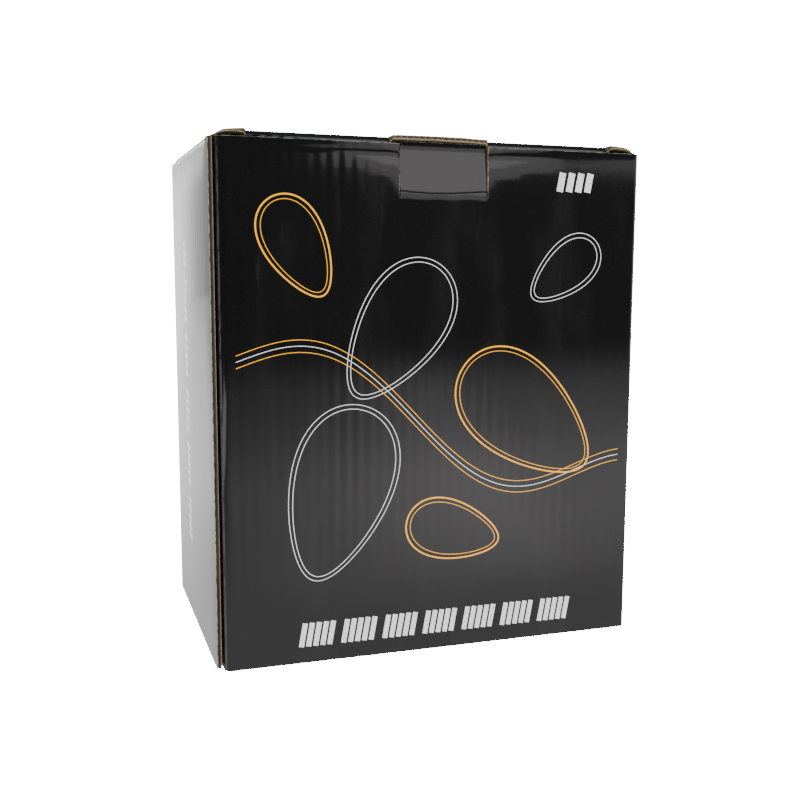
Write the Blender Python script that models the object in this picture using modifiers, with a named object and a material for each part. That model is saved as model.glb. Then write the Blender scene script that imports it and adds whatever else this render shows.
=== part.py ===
"""Boxed suspension trainer: a closed tuck-top carton of fluted board with the trainer packed inside.

Lengths are in metres and +Z is up. The origin is the middle of the carton's base, and the front is at -Y.
"""

import math

import bmesh
import bpy
from mathutils import Matrix, Vector

# Clearances, and how finely round forms are made
FIT = 0.0003
OVERRUN = 0.010
ARC_STEP = math.radians(22.5)
BROAD_RADIUS = 0.0125
BROAD_ARC_STEP = math.radians(7.5)
SHARP_ANGLE = math.radians(40)

# Carton board and walls
BOARD = 0.003
WALL_FOLD_RADIUS = 0.0018
LEFT_EDGE_SETBACK = 0.004
GLUE_FLAP_LENGTH = 0.032
GLUE_FLAP_SHORTFALL = 0.012

# Lid and tuck flap
LID_SIDE_INSET = 0.002
LID_FRONT_INSET = 0.0005
SLIT_LOCK_LENGTH = 0.0155
TUCK_LENGTH = 0.030
TUCK_LEAN = math.radians(14)
TUCK_PLAY = 0.0004
TUCK_SIDE_CLEARANCE = 0.001
TUCK_CORNER = 0.012
TUCK_SLOT_DEPTH = 0.012
SLIT_CUT = 0.0006

# Dust flaps
DUST_LENGTH = 0.066
DUST_FRONT_CLEARANCE = 0.008
DUST_BACK_CLEARANCE = 0.006
DUST_BACK_SLOPE = 0.75
DUST_SHOULDER = 0.020
DUST_CHAMFER = 0.006
DUST_CORNER = 0.006

# Lock tab
TAB_WIDTH = 0.046
TAB_HEIGHT = 0.0214
TAB_CENTRE_OFFSET = 0.003
TAB_LEAN = math.radians(6)
TAB_CORNER = 0.0015
TAB_FOLD_BELOW_TOP = 0.022
TAB_CUT = 0.0005
TAB_SLIT_EXTRA = 0.004

# Snap-lock base
BASE_CORNER = 0.004
BASE_NECK_WIDTH = 0.070
BASE_HEAD_WIDTH = 0.092
BASE_NECK_DEPTH = 0.012
BASE_HEAD_DEPTH = 0.016
BASE_SPLIT_OFFSET = 0.012
BASE_SIDE_LENGTH = 0.062
BASE_SIDE_TAPER = 0.030

# Webbing
WEBBING = 0.0018
WIDE_STRAP = 0.038
NARROW_STRAP = 0.025

# Room left round what is packed
ARM_SIDE_CLEARANCE = 0.0012
HANK_SIDE_CLEARANCE = 0.0025
HANK_END_PLAY = 0.0091
ARM_FRONT_PLAY = 0.0115
ARM_GAP = 0.003
CARABINER_FRONT_PLAY = 0.0055
CARABINER_BACK_PLAY = 0.002
PAD_BACK_PLAY = 0.0088
BOOKLET_HEADROOM = 0.0354

# Grip
GRIP_LENGTH = 0.110
GRIP_HEIGHT = 0.150
SLEEVE_RADIUS = 0.01925
SLEEVE_END_RADIUS = 0.0186
SLEEVE_GROOVE = 0.0006
SLEEVE_GROOVES = 5
SLEEVE_GROOVE_PITCH = 0.016
SLEEVE_GROOVE_WIDTH = 0.005
TUBE_RADIUS = 0.0165
TUBE_WALL = 0.0017
CAP_RADIUS = 0.0196
CAP_FLANGE = 0.004
CAP_EDGE = 0.001
CAP_SPIGOT = 0.008
CAP_HOLE_RADIUS = 0.01285
GRIP_STEPS = 24

# Handle webbing and foot cradle
HANDLE_BEND = 0.007
HANDLE_RUN_OUT = 0.001
HANDLE_CORNER_OUT = 0.0106
HANDLE_FOOT_WIDTH = 0.022
HANDLE_FOOT_BEND = 0.006
CRADLE_RISE = 0.062
CRADLE_ARCH_RADIUS = 0.055
CRADLE_LAP = 0.034
CRADLE_BEND = 0.015
CRADLE_CLEARANCE = 0.0014

# Strap hank, its tie and the cam buckle
HANK_RUNS = 17
HANK_PITCH = 0.0034
HANK_HEIGHT = 0.092
HANK_FIRST_BEND = 0.003
HANK_LAST_BEND = 0.005
STRAP_LAP = 0.010
STRAP_TAIL = 0.012
TIE_THICKNESS = 0.0012
TIE_WIDTH = 0.020
TIE_HEIGHT = 0.050
BUCKLE_SHEET = 0.0016
BUCKLE_LENGTH = 0.036
BUCKLE_EAR_HEIGHT = 0.0185
BUCKLE_EAR_WIDTH = 0.020
BUCKLE_EAR_CORNER = 0.006
BUCKLE_SIDE_PLAY = 0.0005
PIN_RADIUS = 0.002
PIN_PLAY = 0.00025
PIN_HEAD = 0.0006
CAM_RADIUS = 0.0062
CAM_TOOTH = 0.0007
CAM_TEETH = 7
CAM_TEETH_START = math.radians(200)
CAM_TEETH_END = math.radians(300)
CAM_CHEEK = math.radians(330)
LEVER_LENGTH = 0.028
LEVER_THICKNESS = 0.003
LEVER_REST = math.radians(8)

# Carabiner
CARABINER_X = -0.088
ROD_RADIUS = 0.004
CARABINER_WIDTH = 0.043
CARABINER_HEIGHT = 0.075
CARABINER_CORNER = 0.010
CARABINER_NOSE = 0.014
GATE_PIVOT_RISE = 0.013
GATE_RADIUS = 0.0036
TANG_THICKNESS = 0.003
TANG_DROP = 0.006
TANG_END = 0.0022
GATE_PIN_RADIUS = 0.0014
ROUND_STEPS = 12

# Anchor strap and ring
ANCHOR_RUNS = 8
ANCHOR_HEIGHT = 0.110
LOOP_LAP = 0.022
LOOP_PLAY = 0.0005
LOOP_BEND = 0.004
RING_ROD_RADIUS = 0.003
RING_WIDTH = 0.036
RING_DROP = 0.024
RING_CORNER = 0.005

# Door anchor
PAD_X = 0.047
PAD_LENGTH = 0.070
PAD_DEPTH = 0.034
PAD_HEIGHT = 0.056
PAD_CROWN = 0.004
PAD_MIDDLE_SHARE = 0.25
DOOR_LOOP_HEIGHT = 0.110
DOOR_LOOP_WIDTH = 0.016

# Booklet
BOOKLET_X = 0.020
BOOKLET_WIDTH = 0.148
BOOKLET_HEIGHT = 0.210
BOOKLET_THICKNESS = 0.0024
BOOKLET_SPINE_RADIUS = 0.0008

# Half the width of a handle with its cradle, and the carton's size round what is packed
CRADLE_HALF_WIDTH = (GRIP_LENGTH / 2 + CAP_FLANGE + HANDLE_RUN_OUT + HANDLE_BEND + WEBBING / 2
                     + CRADLE_CLEARANCE + WEBBING / 2)
HANK_LENGTH = (HANK_RUNS - 1) * HANK_PITCH
LEFT_PLIES = BOARD + FIT + BOARD
FLOOR = LEFT_PLIES + FIT
BOX_WIDTH = (LEFT_PLIES + ARM_SIDE_CLEARANCE + WEBBING / 2 + CRADLE_HALF_WIDTH * 2 + WEBBING + HANK_SIDE_CLEARANCE
             + HANK_LENGTH + WEBBING / 2 + FIT + TIE_THICKNESS + HANK_END_PLAY + BOARD)
BOX_DEPTH = (BOARD + ARM_FRONT_PLAY + WIDE_STRAP + ARM_GAP + WIDE_STRAP + CARABINER_FRONT_PLAY
             + CARABINER_WIDTH + ROD_RADIUS * 2 + CARABINER_BACK_PLAY + BOARD)
WALL_HEIGHT = FLOOR + BOOKLET_HEIGHT + BOOKLET_HEADROOM + BOARD

# Levels and places that follow from the sizes above
HALF_WIDTH = BOX_WIDTH / 2
HALF_DEPTH = BOX_DEPTH / 2
LEFT_ARM_Y = -HALF_DEPTH + BOARD + ARM_FRONT_PLAY + WIDE_STRAP / 2
RIGHT_ARM_Y = LEFT_ARM_Y + WIDE_STRAP + ARM_GAP
CARABINER_Y = HALF_DEPTH - BOARD - CARABINER_BACK_PLAY - ROD_RADIUS - CARABINER_WIDTH / 2
PAD_Y = HALF_DEPTH - BOARD - FIT - BOOKLET_THICKNESS - PAD_BACK_PLAY - PAD_DEPTH / 2
GROOVE_RADIUS = BOARD + FIT
LID_UNDERSIDE = WALL_HEIGHT + FIT
DUST_UNDERSIDE = WALL_HEIGHT - BOARD
LID_AXIS_Y = HALF_DEPTH - BOARD
TUCK_AXIS_Y = -HALF_DEPTH + BOARD + TUCK_PLAY + BOARD
SIDE_AXIS_X = HALF_WIDTH - BOARD
TAB_FOLD_Z = WALL_HEIGHT - TAB_FOLD_BELOW_TOP
TAB_LEFT = TAB_CENTRE_OFFSET - TAB_WIDTH / 2
TAB_RIGHT = TAB_CENTRE_OFFSET + TAB_WIDTH / 2
LID_LEFT = -HALF_WIDTH + LID_SIDE_INSET
LID_RIGHT = HALF_WIDTH - LID_SIDE_INSET
INNER_LEFT = -HALF_WIDTH + LEFT_PLIES
STRAP_ON_FLOOR = FLOOR + WEBBING / 2
GATE_LENGTH = CARABINER_HEIGHT - GATE_PIVOT_RISE - CARABINER_NOSE

PLANES = {
    "XY": (0, 0, 0),
    "XZ": (math.pi / 2, 0, 0),
    "YZ": (math.pi / 2, 0, math.pi / 2),
}


def clear_scene():
    for item in list(bpy.data.objects):
        bpy.data.objects.remove(item, do_unlink=True)


def new_collection(name):
    collection = bpy.data.collections.new(name)
    bpy.context.scene.collection.children.link(collection)
    return collection


def new_material(name, colour, roughness, metallic=0.0):
    material = bpy.data.materials.new(name)
    material.use_nodes = True
    shader = material.node_tree.nodes["Principled BSDF"]
    shader.inputs["Base Color"].default_value = (*colour, 1.0)
    shader.inputs["Roughness"].default_value = roughness
    shader.inputs["Metallic"].default_value = metallic
    return material


def arc_steps(turn, radius):
    """How many straight steps an arc takes: fine ones where it is broad enough for them to show."""
    step = BROAD_ARC_STEP if radius > BROAD_RADIUS else ARC_STEP
    return max(2, round(abs(turn) / step))


def arc(centre_x, centre_y, radius, start_degrees, end_degrees):
    """Points along an arc, the ends included."""
    start, end = math.radians(start_degrees), math.radians(end_degrees)
    steps = arc_steps(end - start, radius)
    angles = [start + (end - start) * step / steps for step in range(steps + 1)]
    return [(centre_x + radius * math.cos(a), centre_y + radius * math.sin(a)) for a in angles]


def rounded(corners, closed=False):
    """Points of a line through corners, each (x, y) or (x, y, radius) with its corner rounded."""
    points = []
    count = len(corners)
    for index, corner in enumerate(corners):
        here = Vector(corner[:2])
        radius = corner[2] if len(corner) > 2 else 0
        if radius == 0 or (not closed and index in (0, count - 1)):
            points.append(here)
            continue
        back = (Vector(corners[index - 1][:2]) - here).normalized()
        ahead = (Vector(corners[(index + 1) % count][:2]) - here).normalized()
        opening = back.angle(ahead)
        centre = here + (back + ahead).normalized() * radius / math.sin(opening / 2)
        arm = here + back * radius / math.tan(opening / 2) - centre
        turn = math.copysign(math.pi - opening, -back.cross(ahead))
        steps = arc_steps(turn, radius)
        for step in range(steps + 1):
            points.append(centre + Matrix.Rotation(turn * step / steps, 2) @ arm)
    return [p for i, p in enumerate(points) if i == 0 or (p - points[i - 1]).length > FIT / 100]


def offset(points, distance, closed=False):
    """The points moved to the left of their line by a distance, with mitred corners."""
    moved = []
    count = len(points)
    for index, here in enumerate(points):
        has_before = closed or index > 0
        has_after = closed or index < count - 1
        after = points[(index + 1) % count] if has_after else here * 2 - points[index - 1]
        before = points[index - 1] if has_before else here * 2 - after
        first = (here - before).normalized()
        second = (after - here).normalized()
        left = Vector((-first.y, first.x))
        mitre = (left + Vector((-second.y, second.x))).normalized()
        moved.append(here + mitre * distance / mitre.dot(left))
    return moved


def ribbon(points, thickness, closed=False):
    """The outline or outlines of a band of even thickness along a line."""
    outer = offset(points, thickness / 2, closed)
    inner = offset(points, -thickness / 2, closed)
    return [outer, inner] if closed else [outer + inner[::-1]]


def mirrored(corners, side):
    return [(corner[0] * side, *corner[1:]) for corner in corners]


class Workshop:
    """Makes objects in the part's collection, and cutters in another."""

    def __init__(self):
        self.parts = new_collection("boxed_suspension_trainer")
        self.cutters = new_collection("cutters")

    def add(self, piece, material=None, parent=None):
        self.parts.objects.link(piece)
        if material:
            piece.data.materials.append(material)
        if parent:
            piece.parent = parent
        return piece

    def axis(self, name, at, lean=0):
        """An empty on a joint's axis, which carries the pieces that move about it."""
        empty = bpy.data.objects.new(name, None)
        empty.location = at
        empty.rotation_euler = (lean, 0, 0)
        empty.empty_display_size = BOARD
        return self.add(empty)

    def flat(self, name, outlines, depth, plane, at=(0, 0, 0)):
        """A flat outline in a plane, extruded by half its depth to either side. It is not linked yet."""
        data = bpy.data.curves.new(name, "CURVE")
        data.dimensions = "2D"
        data.fill_mode = "BOTH"
        data.extrude = depth / 2
        for outline in outlines:
            spline = data.splines.new("POLY")
            spline.points.add(len(outline) - 1)
            for point, place in zip(spline.points, outline):
                point.co = (place[0], place[1], 0, 1)
            spline.use_cyclic_u = True
        piece = bpy.data.objects.new(name, data)
        piece.rotation_euler = PLANES[plane]
        piece.location = at
        return piece

    def solid(self, curve):
        """The mesh of a curve object, welded and turned so that its own axes are the world's."""
        self.parts.objects.link(curve)
        bpy.context.view_layer.update()
        evaluated = curve.evaluated_get(bpy.context.evaluated_depsgraph_get())
        mesh = bpy.data.meshes.new_from_object(evaluated)
        mesh.name = curve.name
        mesh.transform(curve.matrix_world.to_3x3().to_4x4())
        shape = bmesh.new()
        shape.from_mesh(mesh)
        bmesh.ops.remove_doubles(shape, verts=shape.verts, dist=FIT / 100)
        bmesh.ops.recalc_face_normals(shape, faces=shape.faces)
        shape.to_mesh(mesh)
        shape.free()
        name, location = curve.name, curve.location.copy()
        bpy.data.objects.remove(curve, do_unlink=True)
        piece = bpy.data.objects.new(name, mesh)
        piece.location = location
        return piece

    def plate(self, name, outlines, depth, plane, at=(0, 0, 0)):
        return self.solid(self.flat(name, outlines, depth, plane, at))

    def boolean(self, piece, tool, operation, parent=None):
        self.cutters.objects.link(tool)
        tool.hide_render = True
        tool.display_type = "WIRE"
        tool.parent = parent or piece.parent
        modifier = piece.modifiers.new(tool.name, "BOOLEAN")
        modifier.object = tool
        modifier.operation = operation

    def cut(self, piece, tool):
        self.boolean(piece, tool, "DIFFERENCE")

    def block(self, name, size, at):
        """A box cutter of a size, centred at a place."""
        bpy.ops.mesh.primitive_cube_add(size=1, location=at)
        box = bpy.context.object
        box.name = name
        for vertex in box.data.vertices:
            vertex.co = Vector(a * b for a, b in zip(vertex.co, size))
        for collection in list(box.users_collection):
            collection.objects.unlink(box)
        return box

    def drum(self, name, radius, length, along, at, steps=ROUND_STEPS):
        """A cylinder along X, Y or Z, centred at a place."""
        turns = {"X": (0, math.pi / 2, 0), "Y": (math.pi / 2, 0, 0), "Z": (0, 0, 0)}
        shape = bmesh.new()
        bmesh.ops.create_cone(shape, cap_ends=True, segments=steps, radius1=radius, radius2=radius, depth=length)
        mesh = bpy.data.meshes.new(name)
        shape.to_mesh(mesh)
        shape.free()
        mesh.shade_smooth()
        mesh.set_sharp_from_angle(angle=SHARP_ANGLE)
        piece = bpy.data.objects.new(name, mesh)
        piece.location = at
        piece.rotation_euler = turns[along]
        return piece

    def turned(self, name, profile, at, steps=GRIP_STEPS):
        """A ring or tube turned about an axis along X, from a closed profile of (radius, place on the axis)."""
        mesh = bpy.data.meshes.new(name)
        edges = [(i, (i + 1) % len(profile)) for i in range(len(profile))]
        mesh.from_pydata([(radius, 0, place) for radius, place in profile], edges, [])
        piece = bpy.data.objects.new(name, mesh)
        piece.location = at
        piece.rotation_euler = (0, math.pi / 2, 0)
        screw = piece.modifiers.new("turn", "SCREW")
        screw.steps = steps
        screw.render_steps = steps
        screw.merge_threshold = FIT / 10
        screw.use_merge_vertices = True
        screw.use_smooth_shade = True
        return piece

    def rod(self, name, points, radius, plane, at, closed=False):
        """A round bar bent along points in a plane, with closed ends."""
        data = bpy.data.curves.new(name, "CURVE")
        data.dimensions = "3D"
        data.bevel_depth = radius
        data.bevel_resolution = 2
        data.use_fill_caps = not closed
        spline = data.splines.new("POLY")
        spline.points.add(len(points) - 1)
        for point, place in zip(spline.points, points):
            point.co = (place[0], place[1], 0, 1)
        spline.use_cyclic_u = closed
        piece = bpy.data.objects.new(name, data)
        piece.rotation_euler = PLANES[plane]
        piece.location = at
        return piece


def groove_outline(rise):
    """A trough with a half-round bottom about its axis, open above to a rise, for a fold's knuckle to turn in."""
    return [(-GROOVE_RADIUS, rise)] + arc(0, 0, GROOVE_RADIUS, -180, 0) + [(GROOVE_RADIUS, rise)]


def make_walls(shop, board):
    """The band of four panels, its glue flap stuck inside the left panel and its window for the lock tab."""
    mid = BOARD / 2
    left_x = -HALF_WIDTH + mid
    inner_left_x = left_x + BOARD + FIT
    line = rounded([
        (left_x, -HALF_DEPTH + LEFT_EDGE_SETBACK),
        (left_x, HALF_DEPTH - mid, WALL_FOLD_RADIUS),
        (HALF_WIDTH - mid, HALF_DEPTH - mid, WALL_FOLD_RADIUS),
        (HALF_WIDTH - mid, -HALF_DEPTH + mid, WALL_FOLD_RADIUS),
        (inner_left_x, -HALF_DEPTH + mid, WALL_FOLD_RADIUS),
        (inner_left_x, -HALF_DEPTH + GLUE_FLAP_LENGTH),
    ])
    walls = shop.plate("carton_walls", ribbon(line, BOARD), WALL_HEIGHT, "XY", (0, 0, WALL_HEIGHT / 2))
    shop.add(walls, board)

    lid_groove = shop.plate("lid_groove", [groove_outline(OVERRUN)], BOX_WIDTH + OVERRUN, "YZ",
                            (0, LID_AXIS_Y, LID_UNDERSIDE))
    shop.cut(walls, lid_groove)
    root_front = -HALF_DEPTH + DUST_FRONT_CLEARANCE + BOARD
    root_back = LID_AXIS_Y - DUST_BACK_CLEARANCE
    for name, x in (("left_dust_groove", -SIDE_AXIS_X), ("right_dust_groove", SIDE_AXIS_X)):
        groove = shop.plate(name, [groove_outline(OVERRUN)], root_back - root_front + FIT * 2, "XZ",
                            (x, (root_front + root_back) / 2, DUST_UNDERSIDE))
        shop.cut(walls, groove)
    window = shop.plate("tab_window", [groove_outline(TAB_FOLD_BELOW_TOP + OVERRUN)], TAB_WIDTH + TAB_CUT * 2,
                        "YZ", (TAB_CENTRE_OFFSET, -HALF_DEPTH, TAB_FOLD_Z))
    shop.cut(walls, window)

    flap_x = -HALF_WIDTH + BOARD + FIT / 2
    trim_depth = GLUE_FLAP_LENGTH - GROOVE_RADIUS - WALL_FOLD_RADIUS
    trim_y = -HALF_DEPTH + GLUE_FLAP_LENGTH - trim_depth / 2 + OVERRUN / 2
    for name, z in (("glue_flap_foot", 0), ("glue_flap_top", WALL_HEIGHT)):
        trim = shop.block(name, (GROOVE_RADIUS * 2, trim_depth + OVERRUN, GLUE_FLAP_SHORTFALL * 2),
                          (flap_x + GROOVE_RADIUS, trim_y, z))
        shop.cut(walls, trim)


def make_lid(shop, board):
    """The lid panel, with raw edges forward at both ends and over the lock tab, and a knuckle at the back crease."""
    hinge = shop.axis("lid_axis", (0, LID_AXIS_Y, LID_UNDERSIDE))
    front = -HALF_DEPTH + LID_FRONT_INSET - LID_AXIS_Y
    section = [(front, 0), (0, 0), (0, -BOARD)] + arc(0, 0, BOARD, -90, 90)[1:] + [(front, BOARD)]
    lid = shop.plate("lid_panel", [section], LID_RIGHT - LID_LEFT, "YZ")
    shop.add(lid, board, hinge)

    crease_runs = {
        "left_tuck_groove": (LID_LEFT + SLIT_LOCK_LENGTH, TAB_LEFT - TAB_SLIT_EXTRA),
        "right_tuck_groove": (TAB_RIGHT + SLIT_CUT, LID_RIGHT - SLIT_LOCK_LENGTH),
    }
    far = -OVERRUN
    groove = [(far, -GROOVE_RADIUS)] + arc(0, 0, GROOVE_RADIUS, -90, 90) + [(far, GROOVE_RADIUS + OVERRUN)]
    for name, (start, end) in crease_runs.items():
        tool = shop.plate(name, [groove], end - start, "YZ", ((start + end) / 2, TUCK_AXIS_Y - LID_AXIS_Y, 0))
        shop.cut(lid, tool)
    return hinge, crease_runs


def make_tuck_flap(shop, board, lid_hinge, crease_runs):
    """The tuck flap: a knuckle along the lid's creases over a board with rounded corners and a slot for the tab."""
    at = (0, TUCK_AXIS_Y - LID_AXIS_Y, 0)
    hinge = shop.axis("tuck_axis", at, TUCK_LEAN)
    hinge.parent = lid_hinge
    far = -TUCK_LENGTH - OVERRUN
    section = [(-BOARD, far), (0, far), (0, 0)] + arc(0, 0, BOARD, 0, 180)
    flap = shop.plate("tuck_flap", [section], BOX_WIDTH, "YZ")
    shop.add(flap, board, hinge)

    left = INNER_LEFT + TUCK_SIDE_CLEARANCE
    right = HALF_WIDTH - BOARD - TUCK_SIDE_CLEARANCE
    (left_start, left_end), (right_start, right_end) = crease_runs.values()
    top = BOARD + OVERRUN
    outline = rounded([
        (left, -SLIT_CUT), (left_start + SLIT_CUT, -SLIT_CUT), (left_start + SLIT_CUT, top),
        (left_end - SLIT_CUT, top), (left_end - SLIT_CUT, -TUCK_SLOT_DEPTH, BOARD),
        (right_start + SLIT_CUT, -TUCK_SLOT_DEPTH, BOARD), (right_start + SLIT_CUT, top),
        (right_end - SLIT_CUT, top), (right_end - SLIT_CUT, -SLIT_CUT), (right, -SLIT_CUT),
        (right, -TUCK_LENGTH, TUCK_CORNER), (left, -TUCK_LENGTH, TUCK_CORNER),
    ], closed=True)
    silhouette = shop.plate("tuck_silhouette", [outline], OVERRUN * 2, "XZ")
    shop.boolean(flap, silhouette, "INTERSECT")


def make_dust_flap(shop, board, name, side):
    """A dust flap on a side wall: a knuckle in the wall's groove and a tapered board under the lid."""
    hinge = shop.axis(name + "_axis", (side * SIDE_AXIS_X, 0, DUST_UNDERSIDE))
    far = -DUST_LENGTH - OVERRUN
    section = [(far, 0), (0, 0), (0, -BOARD)] + arc(0, 0, BOARD, -90, 90)[1:] + [(far, BOARD)]
    section = [(x * side, z) for x, z in section]
    flap = shop.plate(name, [section], BOX_DEPTH, "XZ")
    shop.add(flap, board, hinge)

    front = -HALF_DEPTH + DUST_FRONT_CLEARANCE + BOARD
    back = LID_AXIS_Y - DUST_BACK_CLEARANCE
    tip_back = back - DUST_LENGTH * DUST_BACK_SLOPE
    outline = rounded(mirrored([
        (OVERRUN, front), (-DUST_SHOULDER, front), (-DUST_SHOULDER - DUST_CHAMFER, front + DUST_CHAMFER),
        (-DUST_LENGTH, front + DUST_CHAMFER, DUST_CORNER), (-DUST_LENGTH, tip_back, DUST_CORNER),
        (0, back), (OVERRUN, back),
    ], side), closed=True)
    silhouette = shop.plate(name + "_silhouette", [outline], OVERRUN * 2, "XY")
    shop.boolean(flap, silhouette, "INTERSECT")


def make_lock_tab(shop, board):
    """The tab in the front panel, folded in at its foot so that its tip stands under the lid's edge."""
    hinge = shop.axis("lock_tab_axis", (TAB_CENTRE_OFFSET, -HALF_DEPTH, TAB_FOLD_Z), -TAB_LEAN)
    foot = arc(0, 0, BOARD, -90 + math.degrees(TAB_LEAN), 0)
    far = TAB_HEIGHT + OVERRUN
    section = [(0, 0)] + foot + [(BOARD, far), (0, far)]
    tab = shop.plate("lock_tab", [section], TAB_WIDTH, "YZ")
    shop.add(tab, board, hinge)
    half = TAB_WIDTH / 2
    outline = rounded([
        (-half, -OVERRUN), (half, -OVERRUN), (half, TAB_HEIGHT, TAB_CORNER), (-half, TAB_HEIGHT, TAB_CORNER),
    ], closed=True)
    silhouette = shop.plate("tab_silhouette", [outline], OVERRUN * 2, "XZ")
    shop.boolean(tab, silhouette, "INTERSECT")


def lock_line(gap):
    """Half of the snap-lock's seam across the base, from the right wall to the middle, with a headed tongue."""
    split = -BASE_SPLIT_OFFSET + gap
    neck, head = BASE_NECK_WIDTH / 2 + gap, BASE_HEAD_WIDTH / 2 + gap
    throat = split + BASE_NECK_DEPTH - gap * 2
    tip = split + BASE_NECK_DEPTH + BASE_HEAD_DEPTH
    return [(neck, split, BASE_CORNER / 2), (neck, throat, BASE_CORNER / 2), (head, throat, BASE_CORNER / 2),
            (head - BASE_CORNER, tip, BASE_CORNER)]


def make_base(shop, board):
    """The snap-lock base: front and back flaps that hook together, with the side flaps over them."""
    reach_x, reach_y = HALF_WIDTH - BOARD - FIT, HALF_DEPTH - BOARD - FIT
    notch_x = INNER_LEFT + FIT
    notch_y = -HALF_DEPTH + GROOVE_RADIUS + WALL_FOLD_RADIUS + FIT
    notch = [(-reach_x, notch_y), (notch_x, notch_y)]
    front_seam = lock_line(0)
    back_seam = lock_line(FIT)
    split = -BASE_SPLIT_OFFSET
    front = rounded([(notch_x, -reach_y, BASE_CORNER), (reach_x, -reach_y, BASE_CORNER), (reach_x, split)]
                    + front_seam + mirrored(front_seam[::-1], -1) + [(-reach_x, split)] + notch, closed=True)
    back = rounded([(-reach_x, reach_y, BASE_CORNER), (-reach_x, split + FIT)] + mirrored(back_seam, -1)
                   + back_seam[::-1] + [(reach_x, split + FIT), (reach_x, reach_y, BASE_CORNER)], closed=True)
    for name, outline in (("base_front_flap", front), ("base_back_flap", back)):
        shop.add(shop.flat(name, [outline], BOARD, "XY", (0, 0, BOARD / 2)), board)
    tip_x = reach_x - BASE_SIDE_LENGTH
    tip = [(tip_x, reach_y - BASE_SIDE_TAPER, BASE_CORNER), (tip_x, -reach_y + BASE_SIDE_TAPER, BASE_CORNER)]
    roots = {
        "base_left_flap": (-1, [(-notch_x, -reach_y), (-notch_x, notch_y), (reach_x, notch_y)]),
        "base_right_flap": (1, [(reach_x, -reach_y)]),
    }
    for name, (side, root) in roots.items():
        outline = rounded(mirrored([(reach_x, reach_y)] + tip + root, side), closed=True)
        shop.add(shop.flat(name, [outline], BOARD, "XY", (0, 0, BOARD + FIT + BOARD / 2)), board)


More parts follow.
